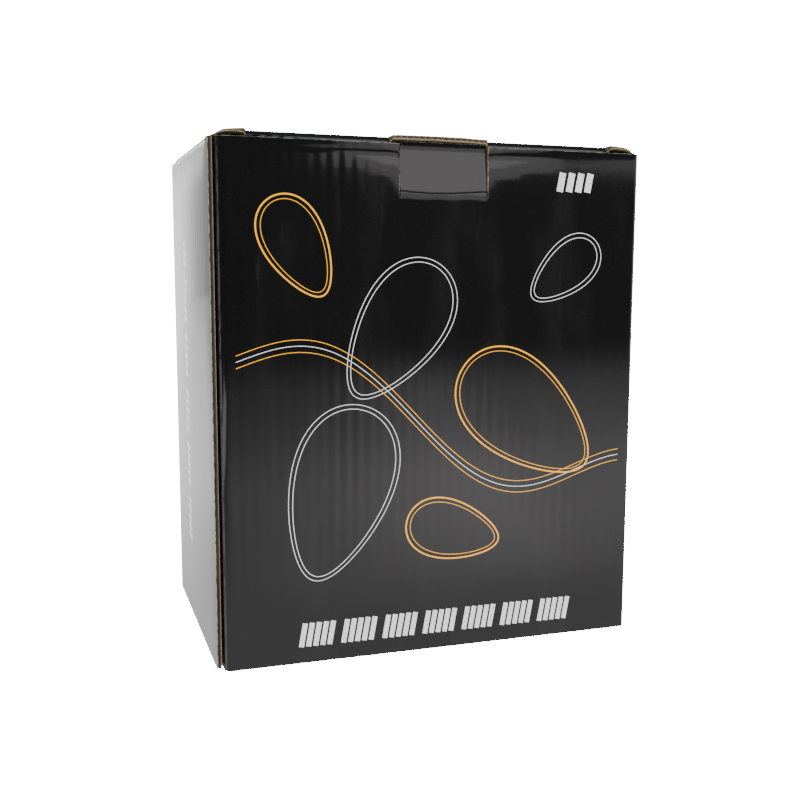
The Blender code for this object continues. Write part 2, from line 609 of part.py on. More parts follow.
class Arm:
    """One arm of the trainer: handle, foot cradle, strap folded to a hank, tie and cam buckle."""

    def __init__(self, shop, finishes, name, side, y):
        self.shop = shop
        self.finishes = finishes
        self.name = name
        self.side = side
        self.y = y
        self.corner_x = GRIP_LENGTH / 2 + CAP_FLANGE + HANDLE_RUN_OUT + HANDLE_CORNER_OUT
        self.foot_x = HANDLE_FOOT_WIDTH / 2
        self.foot_z = STRAP_ON_FLOOR + WEBBING + FIT
        self.leg_angle = math.atan2(GRIP_HEIGHT - self.foot_z, self.corner_x - self.foot_x)
        self.grip_x = INNER_LEFT + ARM_SIDE_CLEARANCE + WEBBING / 2 + CRADLE_HALF_WIDTH
        self.hank_x = self.grip_x + CRADLE_HALF_WIDTH + WEBBING + HANK_SIDE_CLEARANCE
        self.hank_end_x = self.hank_x + HANK_LENGTH
        self.hank_top = STRAP_ON_FLOOR + HANK_HEIGHT
        self.buckle_z = self.hank_top + WEBBING / 2 + FIT
        self.strap_z = self.buckle_z + BUCKLE_SHEET + FIT + WEBBING / 2

    def add(self, part, piece, finish, parent=None):
        piece.name = f"{self.name}_{part}"
        return self.shop.add(piece, self.finishes[finish], parent)

    def strap(self, part, corners, width, closed=False):
        line = rounded(mirrored(corners, -self.side), closed)
        return self.add(part, self.shop.flat(part, ribbon(line, WEBBING, closed), width, "XZ", (0, self.y, 0)),
                        "webbing")

    def build(self):
        self.make_grip()
        self.make_handle_webbing()
        self.make_foot_cradle()
        self.make_strap_hank()
        self.make_hank_tie()
        self.make_buckle()

    def make_grip(self):
        """Sleeve, tube and end caps, which turn together about the webbing inside the tube."""
        centre = (-self.side * self.grip_x, self.y, GRIP_HEIGHT)
        half = GRIP_LENGTH / 2
        bore = TUBE_RADIUS - TUBE_WALL
        self.add("grip_tube", self.shop.turned("tube", [(TUBE_RADIUS, half), (TUBE_RADIUS, -half), (bore, -half),
                                                        (bore, half)], centre), "tube")
        skin = [(SLEEVE_END_RADIUS, half), (SLEEVE_RADIUS, half - CAP_FLANGE)]
        first = (SLEEVE_GROOVES - 1) / 2 * SLEEVE_GROOVE_PITCH
        for index in range(SLEEVE_GROOVES):
            middle = first - index * SLEEVE_GROOVE_PITCH
            width = SLEEVE_GROOVE_WIDTH / 2
            skin += [(SLEEVE_RADIUS, middle + width), (SLEEVE_RADIUS - SLEEVE_GROOVE, middle),
                     (SLEEVE_RADIUS, middle - width)]
        skin += [(SLEEVE_RADIUS, -half + CAP_FLANGE), (SLEEVE_END_RADIUS, -half)]
        skin += [(TUBE_RADIUS + FIT, -half), (TUBE_RADIUS + FIT, half)]
        self.add("grip_sleeve", self.shop.turned("sleeve", skin, centre), "foam")
        for part, end in (("grip_cap_outer", -self.side), ("grip_cap_inner", self.side)):
            seat, face = half + FIT, half + FIT + CAP_FLANGE
            spigot = bore - FIT
            profile = [(CAP_HOLE_RADIUS, face), (CAP_RADIUS - CAP_EDGE, face), (CAP_RADIUS, face - CAP_EDGE),
                       (CAP_RADIUS, seat), (spigot, seat), (spigot, seat - CAP_SPIGOT),
                       (CAP_HOLE_RADIUS, seat - CAP_SPIGOT)]
            cap = self.shop.turned(part, profile, centre)
            if end < 0:
                cap.rotation_euler = (0, -math.pi / 2, 0)
            self.add(part, cap, "plastic")

    def make_handle_webbing(self):
        """A closed loop of narrow webbing through the tube and down both legs to a flat foot."""
        corners = [
            (self.grip_x + self.corner_x, GRIP_HEIGHT, HANDLE_BEND),
            (self.grip_x + self.foot_x, self.foot_z, HANDLE_FOOT_BEND),
            (self.grip_x - self.foot_x, self.foot_z, HANDLE_FOOT_BEND),
            (self.grip_x - self.corner_x, GRIP_HEIGHT, HANDLE_BEND),
        ]
        self.strap("handle_webbing", corners, NARROW_STRAP, closed=True)

    def make_foot_cradle(self):
        """A wide strap sewn to both legs, which arches over the grip."""
        gap = WEBBING + FIT
        normal_x, normal_z = math.sin(self.leg_angle) * gap, -math.cos(self.leg_angle) * gap
        lap_x = self.corner_x - math.cos(self.leg_angle) * CRADLE_LAP + normal_x
        lap_z = GRIP_HEIGHT - math.sin(self.leg_angle) * CRADLE_LAP + normal_z
        turn_z = lap_z + (CRADLE_HALF_WIDTH - lap_x) * math.tan(self.leg_angle)
        top = GRIP_HEIGHT + CRADLE_RISE
        half = [(lap_x, lap_z), (CRADLE_HALF_WIDTH, turn_z, CRADLE_BEND),
                (CRADLE_HALF_WIDTH, top, CRADLE_ARCH_RADIUS)]
        right = [(self.grip_x + x, *rest) for x, *rest in half]
        left = [(self.grip_x - x, *rest) for x, *rest in half]
        self.strap("foot_cradle", right + left[::-1], WIDE_STRAP)

    def make_strap_hank(self):
        """The arm's strap: sewn under the handle's foot, folded to and fro, then through the buckle to its tail."""
        corners = [(self.grip_x - STRAP_LAP, STRAP_ON_FLOOR), (self.hank_x, STRAP_ON_FLOOR, HANK_FIRST_BEND)]
        bend = HANK_PITCH / 2
        for run in range(HANK_RUNS - 1):
            level = self.hank_top if run % 2 == 0 else STRAP_ON_FLOOR
            corners.append((self.hank_x + run * HANK_PITCH, level, bend))
            corners.append((self.hank_x + (run + 1) * HANK_PITCH, level, bend))
        corners.append((self.hank_end_x, self.strap_z, HANK_LAST_BEND))
        corners.append((self.hank_x - STRAP_TAIL, self.strap_z))
        self.strap("strap_hank", corners, WIDE_STRAP)

    def make_hank_tie(self):
        """An elastic band round the hank."""
        grow = WEBBING / 2 + FIT + TIE_THICKNESS / 2
        low, high = self.hank_x - grow, self.hank_end_x + grow
        half = WIDE_STRAP / 2 + FIT + TIE_THICKNESS / 2
        corners = [(low, -half, TIE_THICKNESS), (high, -half, TIE_THICKNESS), (high, half, TIE_THICKNESS),
                   (low, half, TIE_THICKNESS)]
        band = ribbon(rounded(mirrored(corners, -self.side), closed=True), TIE_THICKNESS, closed=True)
        self.add("hank_tie", self.shop.flat("hank_tie", band, TIE_WIDTH, "XY", (0, self.y, TIE_HEIGHT)), "elastic")

    def make_buckle(self):
        """A bent sheet frame on the hank, with a toothed cam lever on a pin between its ears."""
        middle = -self.side * (self.hank_x + self.hank_end_x) / 2
        inner = WIDE_STRAP / 2 + BUCKLE_SIDE_PLAY
        outer = inner + BUCKLE_SHEET
        channel = [(-outer, 0), (outer, 0), (outer, BUCKLE_EAR_HEIGHT), (inner, BUCKLE_EAR_HEIGHT),
                   (inner, BUCKLE_SHEET), (-inner, BUCKLE_SHEET), (-inner, BUCKLE_EAR_HEIGHT),
                   (-outer, BUCKLE_EAR_HEIGHT)]
        frame = self.shop.plate("buckle_frame", [channel], BUCKLE_LENGTH, "YZ", (middle, self.y, self.buckle_z))
        self.add("buckle_frame", frame, "steel")
        half, ear = BUCKLE_LENGTH / 2, BUCKLE_EAR_WIDTH / 2
        outline = rounded([
            (-half, -OVERRUN), (half, -OVERRUN), (half, BUCKLE_SHEET), (ear, BUCKLE_SHEET + FIT),
            (ear, BUCKLE_EAR_HEIGHT, BUCKLE_EAR_CORNER), (-ear, BUCKLE_EAR_HEIGHT, BUCKLE_EAR_CORNER),
            (-ear, BUCKLE_SHEET + FIT), (-half, BUCKLE_SHEET),
        ], closed=True)
        silhouette = self.shop.plate(f"{self.name}_buckle_silhouette", [outline], WIDE_STRAP * 2, "XZ",
                                     (middle, self.y, self.buckle_z))
        self.shop.boolean(frame, silhouette, "INTERSECT")

        pivot_z = self.strap_z + WEBBING / 2 + FIT + CAM_RADIUS
        pivot = (middle, self.y, pivot_z)
        hole = self.shop.drum(f"{self.name}_pin_hole", PIN_RADIUS + PIN_PLAY, WIDE_STRAP * 2, "Y", pivot)
        self.shop.cut(frame, hole)
        pin_length = (outer + PIN_HEAD) * 2
        self.add("cam_pin", self.shop.drum("cam_pin", PIN_RADIUS, pin_length, "Y", pivot), "bright_steel")
        self.make_lever(pivot)

    def make_lever(self, pivot):
        """A cam with teeth on its strap side, and a thumb lever that lies out over the strap."""
        out = -self.side
        teeth = []
        for index in range(CAM_TEETH * 2 + 1):
            angle = CAM_TEETH_START + (CAM_TEETH_END - CAM_TEETH_START) * index / (CAM_TEETH * 2)
            radius = CAM_RADIUS - (CAM_TOOTH if index % 2 == 0 else 0)
            teeth.append((radius * math.cos(angle), radius * math.sin(angle)))
        cheek = (CAM_RADIUS * math.cos(CAM_CHEEK), CAM_RADIUS * math.sin(CAM_CHEEK))
        lean = math.degrees(LEVER_REST)
        back = arc(0, 0, CAM_RADIUS, 90 + lean, math.degrees(CAM_TEETH_START) - lean)
        along = Vector((math.cos(LEVER_REST), math.sin(LEVER_REST)))
        across = Vector((-along.y, along.x))
        top_start = across * CAM_RADIUS
        tip_top = top_start + along * LEVER_LENGTH
        tip_low = tip_top - across * LEVER_THICKNESS
        heel = across * (CAM_RADIUS - LEVER_THICKNESS) + along * CAM_RADIUS
        outline = back + teeth + [cheek, heel[:], tip_low[:], tip_top[:]]
        hole = arc(0, 0, PIN_RADIUS + PIN_PLAY, 0, 360)[1:]
        outlines = [[(x * out, z) for x, z in outline], hole]
        width = WIDE_STRAP - BUCKLE_SIDE_PLAY
        self.add("cam_lever", self.shop.flat("cam_lever", outlines, width, "XZ", pivot), "plated_steel")


def make_carabiner(shop, finishes):
    """A D-shaped snap hook that stands on its end: bent rod, gate on a tang, and the gate's pin."""
    half = CARABINER_WIDTH / 2
    base_z = FLOOR + ROD_RADIUS
    at = (CARABINER_X, CARABINER_Y, base_z)
    nose = CARABINER_HEIGHT - CARABINER_NOSE
    points = rounded([
        (-half, GATE_PIVOT_RISE + TANG_END), (-half, 0, CARABINER_CORNER), (half, 0, CARABINER_CORNER),
        (half, CARABINER_HEIGHT, CARABINER_CORNER), (-half, CARABINER_HEIGHT, CARABINER_CORNER), (-half, nose),
    ])
    body = shop.solid(shop.rod("carabiner_body", points, ROD_RADIUS, "YZ", at))
    shop.add(body, finishes["plated_steel"])

    pivot = (CARABINER_X, CARABINER_Y - half, base_z + GATE_PIVOT_RISE)
    tang_z = pivot[2] + OVERRUN / 2 - TANG_DROP / 2
    for name, way in (("tang_left", -1), ("tang_right", 1)):
        cheek = shop.block(name, (OVERRUN, OVERRUN, OVERRUN + TANG_DROP),
                           (CARABINER_X + way * (TANG_THICKNESS + OVERRUN) / 2, pivot[1], tang_z))
        shop.cut(body, cheek)
    shop.cut(body, shop.drum("body_pin_hole", GATE_PIN_RADIUS + PIN_PLAY, OVERRUN * 2, "X", pivot))

    low = -TANG_DROP + FIT * 2 + ROD_RADIUS / 2
    high = GATE_LENGTH - FIT
    gate = shop.drum("carabiner_gate", GATE_RADIUS, high - low, "Z", (0, 0, 0))
    gate.data.transform(Matrix.Translation((0, 0, (high + low) / 2)))
    gate.location = pivot
    shop.add(gate, finishes["plated_steel"])
    slot_top = ROD_RADIUS + FIT * 2
    slot = shop.block("gate_slot", (TANG_THICKNESS + FIT * 2, OVERRUN, slot_top + OVERRUN),
                      (pivot[0], pivot[1], pivot[2] + (slot_top - OVERRUN) / 2))
    shop.cut(gate, slot)
    shop.cut(gate, shop.drum("gate_pin_hole", GATE_PIN_RADIUS + PIN_PLAY, OVERRUN * 2, "X", pivot))
    shop.add(shop.drum("gate_pin", GATE_PIN_RADIUS, GATE_RADIUS * 2, "X", pivot), finishes["bright_steel"])


def loop_round(bar_x, bar_z, rod_radius, side):
    """Corners of a sewn strap loop round a bar, from its lapped end to where the strap leaves level with the top."""
    reach = rod_radius + LOOP_PLAY + WEBBING / 2
    lap_z = bar_z + reach - WEBBING - FIT
    return [
        (bar_x + side * (reach + LOOP_LAP), lap_z), (bar_x + side * (reach + LOOP_BEND * 2), lap_z, LOOP_BEND),
        (bar_x + side * LOOP_BEND, bar_z - reach, LOOP_BEND), (bar_x - side * reach, bar_z - reach, reach),
        (bar_x - side * reach, bar_z + reach, reach),
    ]


def make_anchor(shop, finishes):
    """The anchor strap, looped on the carabiner, folded beside it, and looped on the anchor ring."""
    bar_z = FLOOR + ROD_RADIUS + CARABINER_HEIGHT
    reach = ROD_RADIUS + LOOP_PLAY + WEBBING / 2
    level = bar_z + reach
    corners = loop_round(CARABINER_X, bar_z, ROD_RADIUS, 1)
    bend = HANK_PITCH / 2
    start = CARABINER_X + reach + LOOP_LAP + HANK_FIRST_BEND
    corners.append((start, level, HANK_FIRST_BEND))
    low, high = STRAP_ON_FLOOR, STRAP_ON_FLOOR + ANCHOR_HEIGHT
    for run in range(ANCHOR_RUNS - 1):
        turn_z = low if run % 2 == 0 else high
        corners.append((start + run * HANK_PITCH, turn_z, bend))
        corners.append((start + (run + 1) * HANK_PITCH, turn_z, bend))
    ring_reach = RING_ROD_RADIUS + LOOP_PLAY + WEBBING / 2
    last_x = start + (ANCHOR_RUNS - 1) * HANK_PITCH
    ring_x = last_x + HANK_FIRST_BEND + LOOP_LAP + ring_reach
    ring_z = level
    ring_loop = loop_round(ring_x, ring_z, RING_ROD_RADIUS, -1)
    corners.append((last_x, ring_z + ring_reach, HANK_FIRST_BEND))
    corners += ring_loop[::-1]
    line = rounded(corners)
    shop.add(shop.flat("anchor_strap", ribbon(line, WEBBING), NARROW_STRAP, "XZ", (0, CARABINER_Y, 0)),
             finishes["webbing"])

    half = RING_WIDTH / 2
    ring = rounded([(-half, 0, RING_CORNER), (half, 0, RING_CORNER), (half, -RING_DROP, RING_CORNER),
                    (-half, -RING_DROP, RING_CORNER)], closed=True)
    shop.add(shop.rod("anchor_ring", ring, RING_ROD_RADIUS, "YZ", (ring_x, CARABINER_Y, ring_z), closed=True),
             finishes["plated_steel"])


def make_door_anchor(shop, finishes):
    """A crowned soft pad that stands on the base, with a webbing loop out of its top."""
    cage = bmesh.new()
    bmesh.ops.create_cube(cage, size=1)
    bmesh.ops.subdivide_edges(cage, edges=cage.edges, cuts=2, use_grid_fill=True)
    size = Vector((PAD_LENGTH, PAD_DEPTH, PAD_HEIGHT))
    for vertex in cage.verts:
        place = Vector(a * b for a, b in zip(vertex.co, size))
        if abs(vertex.co.x) < PAD_MIDDLE_SHARE and abs(vertex.co.z) < PAD_MIDDLE_SHARE:
            place.y += math.copysign(PAD_CROWN, vertex.co.y)
        vertex.co = place
    mesh = bpy.data.meshes.new("door_anchor_pad")
    cage.to_mesh(mesh)
    cage.free()
    mesh.shade_smooth()
    pad = bpy.data.objects.new("door_anchor_pad", mesh)
    pad.location = (PAD_X, PAD_Y, FLOOR + PAD_HEIGHT / 2)
    shop.add(pad, finishes["padding"])
    soften = pad.modifiers.new("soften", "SUBSURF")
    soften.levels = 1
    soften.render_levels = 1

    top = FLOOR + PAD_HEIGHT + FIT
    half = DOOR_LOOP_WIDTH / 2
    line = rounded([(PAD_X - WEBBING, top), (PAD_X - WEBBING, top + half), (PAD_X - half, top + half * 3, half),
                    (PAD_X - half, top + DOOR_LOOP_HEIGHT, half), (PAD_X + half, top + DOOR_LOOP_HEIGHT, half),
                    (PAD_X + half, top + half * 3, half), (PAD_X + WEBBING, top + half), (PAD_X + WEBBING, top)])
    shop.add(shop.flat("door_anchor_loop", ribbon(line, WEBBING), NARROW_STRAP, "XZ", (0, PAD_Y, 0)),
             finishes["webbing"])


def make_booklet(shop, finishes):
    """A stapled booklet that stands against the back panel, its spine rounded."""
    half, thickness, spine = BOOKLET_WIDTH / 2, BOOKLET_THICKNESS, BOOKLET_SPINE_RADIUS
    outline = rounded([(-half, 0, spine), (half, 0), (half, thickness), (-half, thickness, spine)], closed=True)
    at = (BOOKLET_X, HALF_DEPTH - BOARD - FIT - thickness, FLOOR + BOOKLET_HEIGHT / 2)
    shop.add(shop.flat("guide_booklet", [outline], BOOKLET_HEIGHT, "XY", at), finishes["paper"])


def make_finishes():
    return {
        "board": new_material("printed_board", (0.010, 0.010, 0.011), 0.18),
        "webbing": new_material("black_webbing", (0.018, 0.018, 0.019), 0.85),
        "foam": new_material("grip_foam", (0.030, 0.030, 0.032), 0.75),
        "tube": new_material("grip_tube_plastic", (0.060, 0.060, 0.062), 0.45),
        "plastic": new_material("cap_plastic", (0.750, 0.290, 0.030), 0.40),
        "elastic": new_material("tie_elastic", (0.045, 0.045, 0.048), 0.80),
        "steel": new_material("buckle_steel", (0.420, 0.420, 0.430), 0.35, 1.0),
        "plated_steel": new_material("plated_steel", (0.560, 0.560, 0.570), 0.25, 1.0),
        "bright_steel": new_material("pin_steel", (0.650, 0.650, 0.660), 0.20, 1.0),
        "padding": new_material("pad_cover", (0.025, 0.025, 0.027), 0.80),
        "paper": new_material("booklet_paper", (0.780, 0.770, 0.740), 0.55),
    }


def main():
    clear_scene()
    shop = Workshop()
    finishes = make_finishes()
    board = finishes["board"]
    make_walls(shop, board)
    lid_hinge, crease_runs = make_lid(shop, board)
    make_tuck_flap(shop, board, lid_hinge, crease_runs)
    make_dust_flap(shop, board, "left_dust_flap", -1)
    make_dust_flap(shop, board, "right_dust_flap", 1)
    make_lock_tab(shop, board)
    make_base(shop, board)
    Arm(shop, finishes, "left", -1, LEFT_ARM_Y).build()
    Arm(shop, finishes, "right", 1, RIGHT_ARM_Y).build()
    make_carabiner(shop, finishes)
    make_anchor(shop, finishes)
    make_door_anchor(shop, finishes)
    make_booklet(shop, finishes)


main()
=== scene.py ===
"""The looks of a closed tuck-top carton of fluted board, with a suspension trainer packed inside it.

Lengths are in metres, in the frame of the solids: +Z is up and the carton's front is at -Y.
"""

import logging
import math
from collections.abc import Callable, Sequence
from dataclasses import dataclass, field
from enum import Enum
from typing import Any

import bmesh
import bpy
from mathutils import Matrix, Vector, noise


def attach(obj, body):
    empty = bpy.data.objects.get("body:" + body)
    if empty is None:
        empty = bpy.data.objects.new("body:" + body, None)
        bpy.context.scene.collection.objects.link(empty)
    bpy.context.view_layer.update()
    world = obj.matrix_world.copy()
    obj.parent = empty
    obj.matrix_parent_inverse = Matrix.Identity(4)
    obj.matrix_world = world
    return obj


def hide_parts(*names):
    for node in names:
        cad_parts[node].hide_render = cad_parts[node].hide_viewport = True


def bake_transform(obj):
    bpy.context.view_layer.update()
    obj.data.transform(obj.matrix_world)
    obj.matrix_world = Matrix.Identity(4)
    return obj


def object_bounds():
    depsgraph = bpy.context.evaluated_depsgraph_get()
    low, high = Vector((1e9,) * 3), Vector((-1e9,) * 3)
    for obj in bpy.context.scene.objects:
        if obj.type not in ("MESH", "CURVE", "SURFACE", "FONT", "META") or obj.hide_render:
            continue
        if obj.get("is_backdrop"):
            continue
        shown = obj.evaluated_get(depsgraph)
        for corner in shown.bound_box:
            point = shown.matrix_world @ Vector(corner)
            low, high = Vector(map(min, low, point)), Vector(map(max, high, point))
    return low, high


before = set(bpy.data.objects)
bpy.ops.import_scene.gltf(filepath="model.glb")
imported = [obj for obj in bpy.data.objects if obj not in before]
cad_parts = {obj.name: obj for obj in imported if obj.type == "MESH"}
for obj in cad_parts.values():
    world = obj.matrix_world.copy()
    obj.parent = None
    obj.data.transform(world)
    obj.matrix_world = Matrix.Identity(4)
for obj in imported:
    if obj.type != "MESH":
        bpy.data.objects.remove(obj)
SOLIDS_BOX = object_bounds()
LOG = logging.getLogger("boxed_trainer")

Colour = tuple[float, float, float]
Pair = tuple[float, float]
Place = Callable[[float, float, float], Vector]
Limits = Callable[[float], Pair]
Depth = Callable[[float], float]
Stops = Sequence[Pair]
Corners = Sequence[Sequence[float]]
Rows = Sequence[Sequence[Vector]]
Seams = Sequence[Sequence[Pair]]
Material = bpy.types.Material
Socket = bpy.types.NodeSocket

X, Y = Vector((1, 0, 0)), Vector((0, 1, 0))
WEBBING = 0.0018
FIT = 0.0003
NARROW = 0.025
WIDE = 0.038
FLOOR = 0.0075


class Slot(Enum):
    """The record's material slots."""

    BOARD = "printed_board"
    WEBBING = "webbing"
    FOAM = "grip_foam"
    TUBE = "grip_tube"
    CAP = "grip_cap"
    ELASTIC = "elastic"
    BUCKLE = "buckle_steel"
    PLATED = "plated_steel"
    BRIGHT = "bright_steel"
    PAD = "pad_cover"
    PAPER = "booklet_paper"


class Graph:
    """The node tree of one material, with its Principled shader."""

    def __init__(self, name: str) -> None:
        """Makes an empty material of that name."""
        self.material = bpy.data.materials.new(name)
        self.material.use_nodes = True
        self.tree = self.material.node_tree
        self.shader = self.tree.nodes["Principled BSDF"]

    def plug(self, socket: Socket, value: Any) -> None:
        """Links a signal or a socket to a socket, or sets it to a plain value."""
        value = value.socket if isinstance(value, Signal) else value
        if isinstance(value, Socket):
            self.tree.links.new(value, socket)
        else:
            socket.default_value = value

    def node(self, kind: str, settings: dict[str, Any], inputs: dict[Any, Any]) -> bpy.types.Node:
        """Makes a node of a kind, with its properties set first and then its sockets set or linked."""
        made = self.tree.nodes.new(f"ShaderNode{kind}")
        for key, value in settings.items():
            setattr(made, key, value)
        for key, value in inputs.items():
            self.plug(made.inputs[key], value)
        return made

    def feed(self, **sockets: Any) -> None:
        """Sets or links the shader's sockets, each named in lower case with _ for a space."""
        for key, value in sockets.items():
            self.plug(self.shader.inputs[key.replace("_", " ").title()], value)

    def axes(self, vector: Socket) -> list["Signal"]:
        """The three parts of a vector."""
        return [Signal(self, part) for part in self.node("SeparateXYZ", {}, {0: vector}).outputs]

    def places(self) -> list["Signal"]:
        """The place on the object, in metres."""
        return self.axes(self.node("TexCoord", {}, {}).outputs["Object"])

    def facing(self) -> list["Signal"]:
        """Which way the surface faces."""
        return self.axes(self.node("NewGeometry", {}, {}).outputs["Normal"])

    def lengths(self) -> list["Signal"]:
        """A strap's place along and across itself, in metres, from its UV map."""
        return self.axes(self.node("UVMap", {"uv_map": "run"}, {}).outputs["UV"])[:2]

    def grain(self, scale: float, detail: float, shift: Colour, stretch: Colour = (1, 1, 1)) -> "Signal":
        """Noise from 0 to 1 over the object.

        Args:
            scale: Features in a metre.
            detail: How many finer layers it has.
            shift: An offset that sets this noise apart from others.
            stretch: Scale factors along X, Y and Z.

        Returns:
            The noise.
        """
        place = self.node("TexCoord", {}, {}).outputs["Object"]
        moved = self.node("Mapping", {}, {"Vector": place, "Location": shift, "Scale": stretch})
        made = self.node("TexNoise", {}, {"Vector": moved.outputs[0], "Scale": scale, "Detail": detail})
        return Signal(self, made.outputs["Fac"])

    def mix(self, share: "Signal", first: Any, second: Any) -> Socket:
        """A colour between two, by a share from 0 to 1."""
        first, second = ((*part, 1.0) if isinstance(part, tuple) else part for part in (first, second))
        settings = {"data_type": "RGBA", "clamp_factor": True}
        return self.node("Mix", settings, {0: share, 6: first, 7: second}).outputs[2]

    def relief(self, height: "Signal", depth: float) -> Socket:
        """A normal bent by a height from 0 to 1 that stands for a depth in metres."""
        return self.node("Bump", {}, {"Height": height, "Distance": depth, "Strength": 1.0}).outputs[0]


class Signal:
    """A number that varies over a surface: a socket that takes part in sums."""

    def __init__(self, graph: Graph, socket: Socket) -> None:
        """Wraps a socket of a graph."""
        self.graph = graph
        self.socket = socket

    def reckon(self, operation: str, *values: Any) -> "Signal":
        """The result of a Math node on some values."""
        made = self.graph.node("Math", {"operation": operation}, dict(enumerate(values)))
        return Signal(self.graph, made.outputs[0])

    def __add__(self, other: Any) -> "Signal":
        """The sum."""
        return self.reckon("ADD", self, other)

    __radd__ = __add__

    def __sub__(self, other: Any) -> "Signal":
        """The difference."""
        return self.reckon("SUBTRACT", self, other)

    def __rsub__(self, other: Any) -> "Signal":
        """The difference, from another value."""
        return self.reckon("SUBTRACT", other, self)

    def __mul__(self, other: Any) -> "Signal":
        """The product."""
        return self.reckon("MULTIPLY", self, other)

    __rmul__ = __mul__

    def __pow__(self, other: Any) -> "Signal":
        """The power."""
        return self.reckon("POWER", self, other)

    def wave(self, pitch: float) -> "Signal":
        """A sine of the place, from 0 to 1, with that pitch."""
        return self.reckon("SINE", self * (math.tau / pitch)) * 0.5 + 0.5

    def size(self) -> "Signal":
        """The value without its sign."""
        return self.reckon("ABSOLUTE", self)

    def rise(self, low: float, high: float) -> "Signal":
        """A smooth step from 0 at one value to 1 at another."""
        made = self.graph.node("MapRange", {"interpolation_type": "SMOOTHSTEP"},
                               {0: self, 1: low, 2: high, 3: 0.0, 4: 1.0})
        return Signal(self.graph, made.outputs[0])


@dataclass(frozen=True)
class Grain:
    """One noise's part in a finish: in its colour, its roughness and its relief.

    The step from low to high takes part, or with raw the noise itself in the roughness and the relief.
    """

    scale: float
    detail: float
    shift: Colour
    low: float = 0.3
    high: float = 0.7
    shade: float = 0.0
    rough: float = 0.0
    depth: float = 0.0
    stretch: Colour = (1, 1, 1)
    raw: bool = False


def grained(name: str, first: Colour, second: Colour, roughness: Any, *grains: Grain,
            metal: float = 0.0) -> Material:
    """Makes a finish between two colours.

    Args:
        name: Its name.
        first: The colour where the noises are low.
        second: The colour where they are high.
        roughness: How rough it is where they are low.
        grains: The noises.
        metal: How metallic it is.

    Returns:
        The material.
    """
    graph = Graph(name)
    shade: Any = 0.0
    for part in grains:
        plain = graph.grain(part.scale, part.detail, part.shift, part.stretch)
        step = plain.rise(part.low, part.high)
        value = plain if part.raw else step
        if part.shade:
            shade = step * part.shade + shade
        if part.rough:
            roughness = value * part.rough + roughness
        if part.depth:
            graph.feed(normal=graph.relief(value, part.depth))
    graph.feed(base_color=graph.mix(shade, first, second), roughness=roughness, metallic=metal)
    return graph.material


def gloss_print(arrises: Stops) -> Material:
    """Makes black print under a gloss film, dusty and rubbed, with pale cracks at the arrises' (x, y)."""
    graph = Graph("gloss_black_print")
    specks = graph.grain(2600, 1, (3, 1, 7)).rise(0.70, 0.76)
    smears = graph.grain(38, 5, (1, 5, 2), (1, 1, 0.35)).rise(0.48, 0.75)
    rubs = graph.grain(190, 3, (9, 2, 4), (1, 1, 0.12)).rise(0.60, 0.72) * smears
    dirt = specks * 0.35 + smears * 0.10 + rubs * 0.22
    x, y, _ = graph.places()
    crack = graph.grain(1500, 3, (6, 1, 3), (1, 1, 0.10)).rise(0.36, 0.56)
    fold: Any = 0.0
    for place_x, place_y in arrises:
        reach = ((x - place_x) ** 2 + (y - place_y) ** 2) ** 0.5
        fold = (1.0 - reach.rise(0.00025, 0.00070)) * crack + fold
    clean = graph.mix(dirt, (0.0030, 0.0030, 0.0032), (0.030, 0.030, 0.032))
    peel = graph.grain(260, 3, (4, 4, 4), (1, 1, 0.45))
    graph.feed(base_color=graph.mix(fold, clean, (0.040, 0.036, 0.034)), normal=graph.relief(peel, 0.000012),
               roughness=smears * 0.05 + rubs * 0.10 + fold * 0.4 + 0.075)
    return graph.material


def raw_board(name: str, light: Colour, dark: Colour) -> Material:
    """Makes brown kraft paper, fibrous and a little blotched."""
    return grained(name, light, dark, 0.82,
                   Grain(900, 4, (2, 8, 1), 0.30, 0.75, 0.75, depth=0.00012, stretch=(1, 1, 0.25), raw=True),
                   Grain(60, 3, (5, 3, 2), 0.35, 0.70, 0.25))


def pale_core(name: str, clean: Colour, worn: Colour) -> Material:
    """Makes the pale edge of the printed sheet, where it is cut."""
    return grained(name, clean, worn, 0.75, Grain(420, 4, (7, 7, 1), 0.42, 0.62, 1.0))


def ink(name: str, colour: Colour, thin: Colour) -> Material:
    """Makes a light ink on the black print, under the same film."""
    return grained(name, colour, thin, 0.16, Grain(700, 3, (2, 2, 9), 0.35, 0.70, 0.35))


def base_board(name: str, along: int, pitch: float) -> Material:
    """Makes board with its underside printed, and dark lines of painted shade for the open flutes on its cut
    edges along one axis.
    """
    graph = Graph(name)
    fibre = graph.grain(900, 4, (2, 8, 1)).rise(0.3, 0.75)
    kraft = graph.mix(fibre, (0.36, 0.245, 0.135), (0.20, 0.125, 0.062))
    up = graph.facing()[2]
    under = (up * -1.0).rise(0.90, 0.98)
    # painted shade: darker lines at the flute pitch on the side faces stand for the shade inside the open
    # flutes
    flute = graph.places()[along].wave(pitch).rise(0.25, 0.75) * (1.0 - up.size().rise(0.4, 0.6))
    raw = graph.mix(flute, kraft, (0.055, 0.034, 0.018))
    graph.feed(base_color=graph.mix(under, raw, (0.010, 0.010, 0.0105)), roughness=0.8 - under * 0.7,
               normal=graph.relief(fibre * 0.5 + flute, 0.0002))
    return graph.material


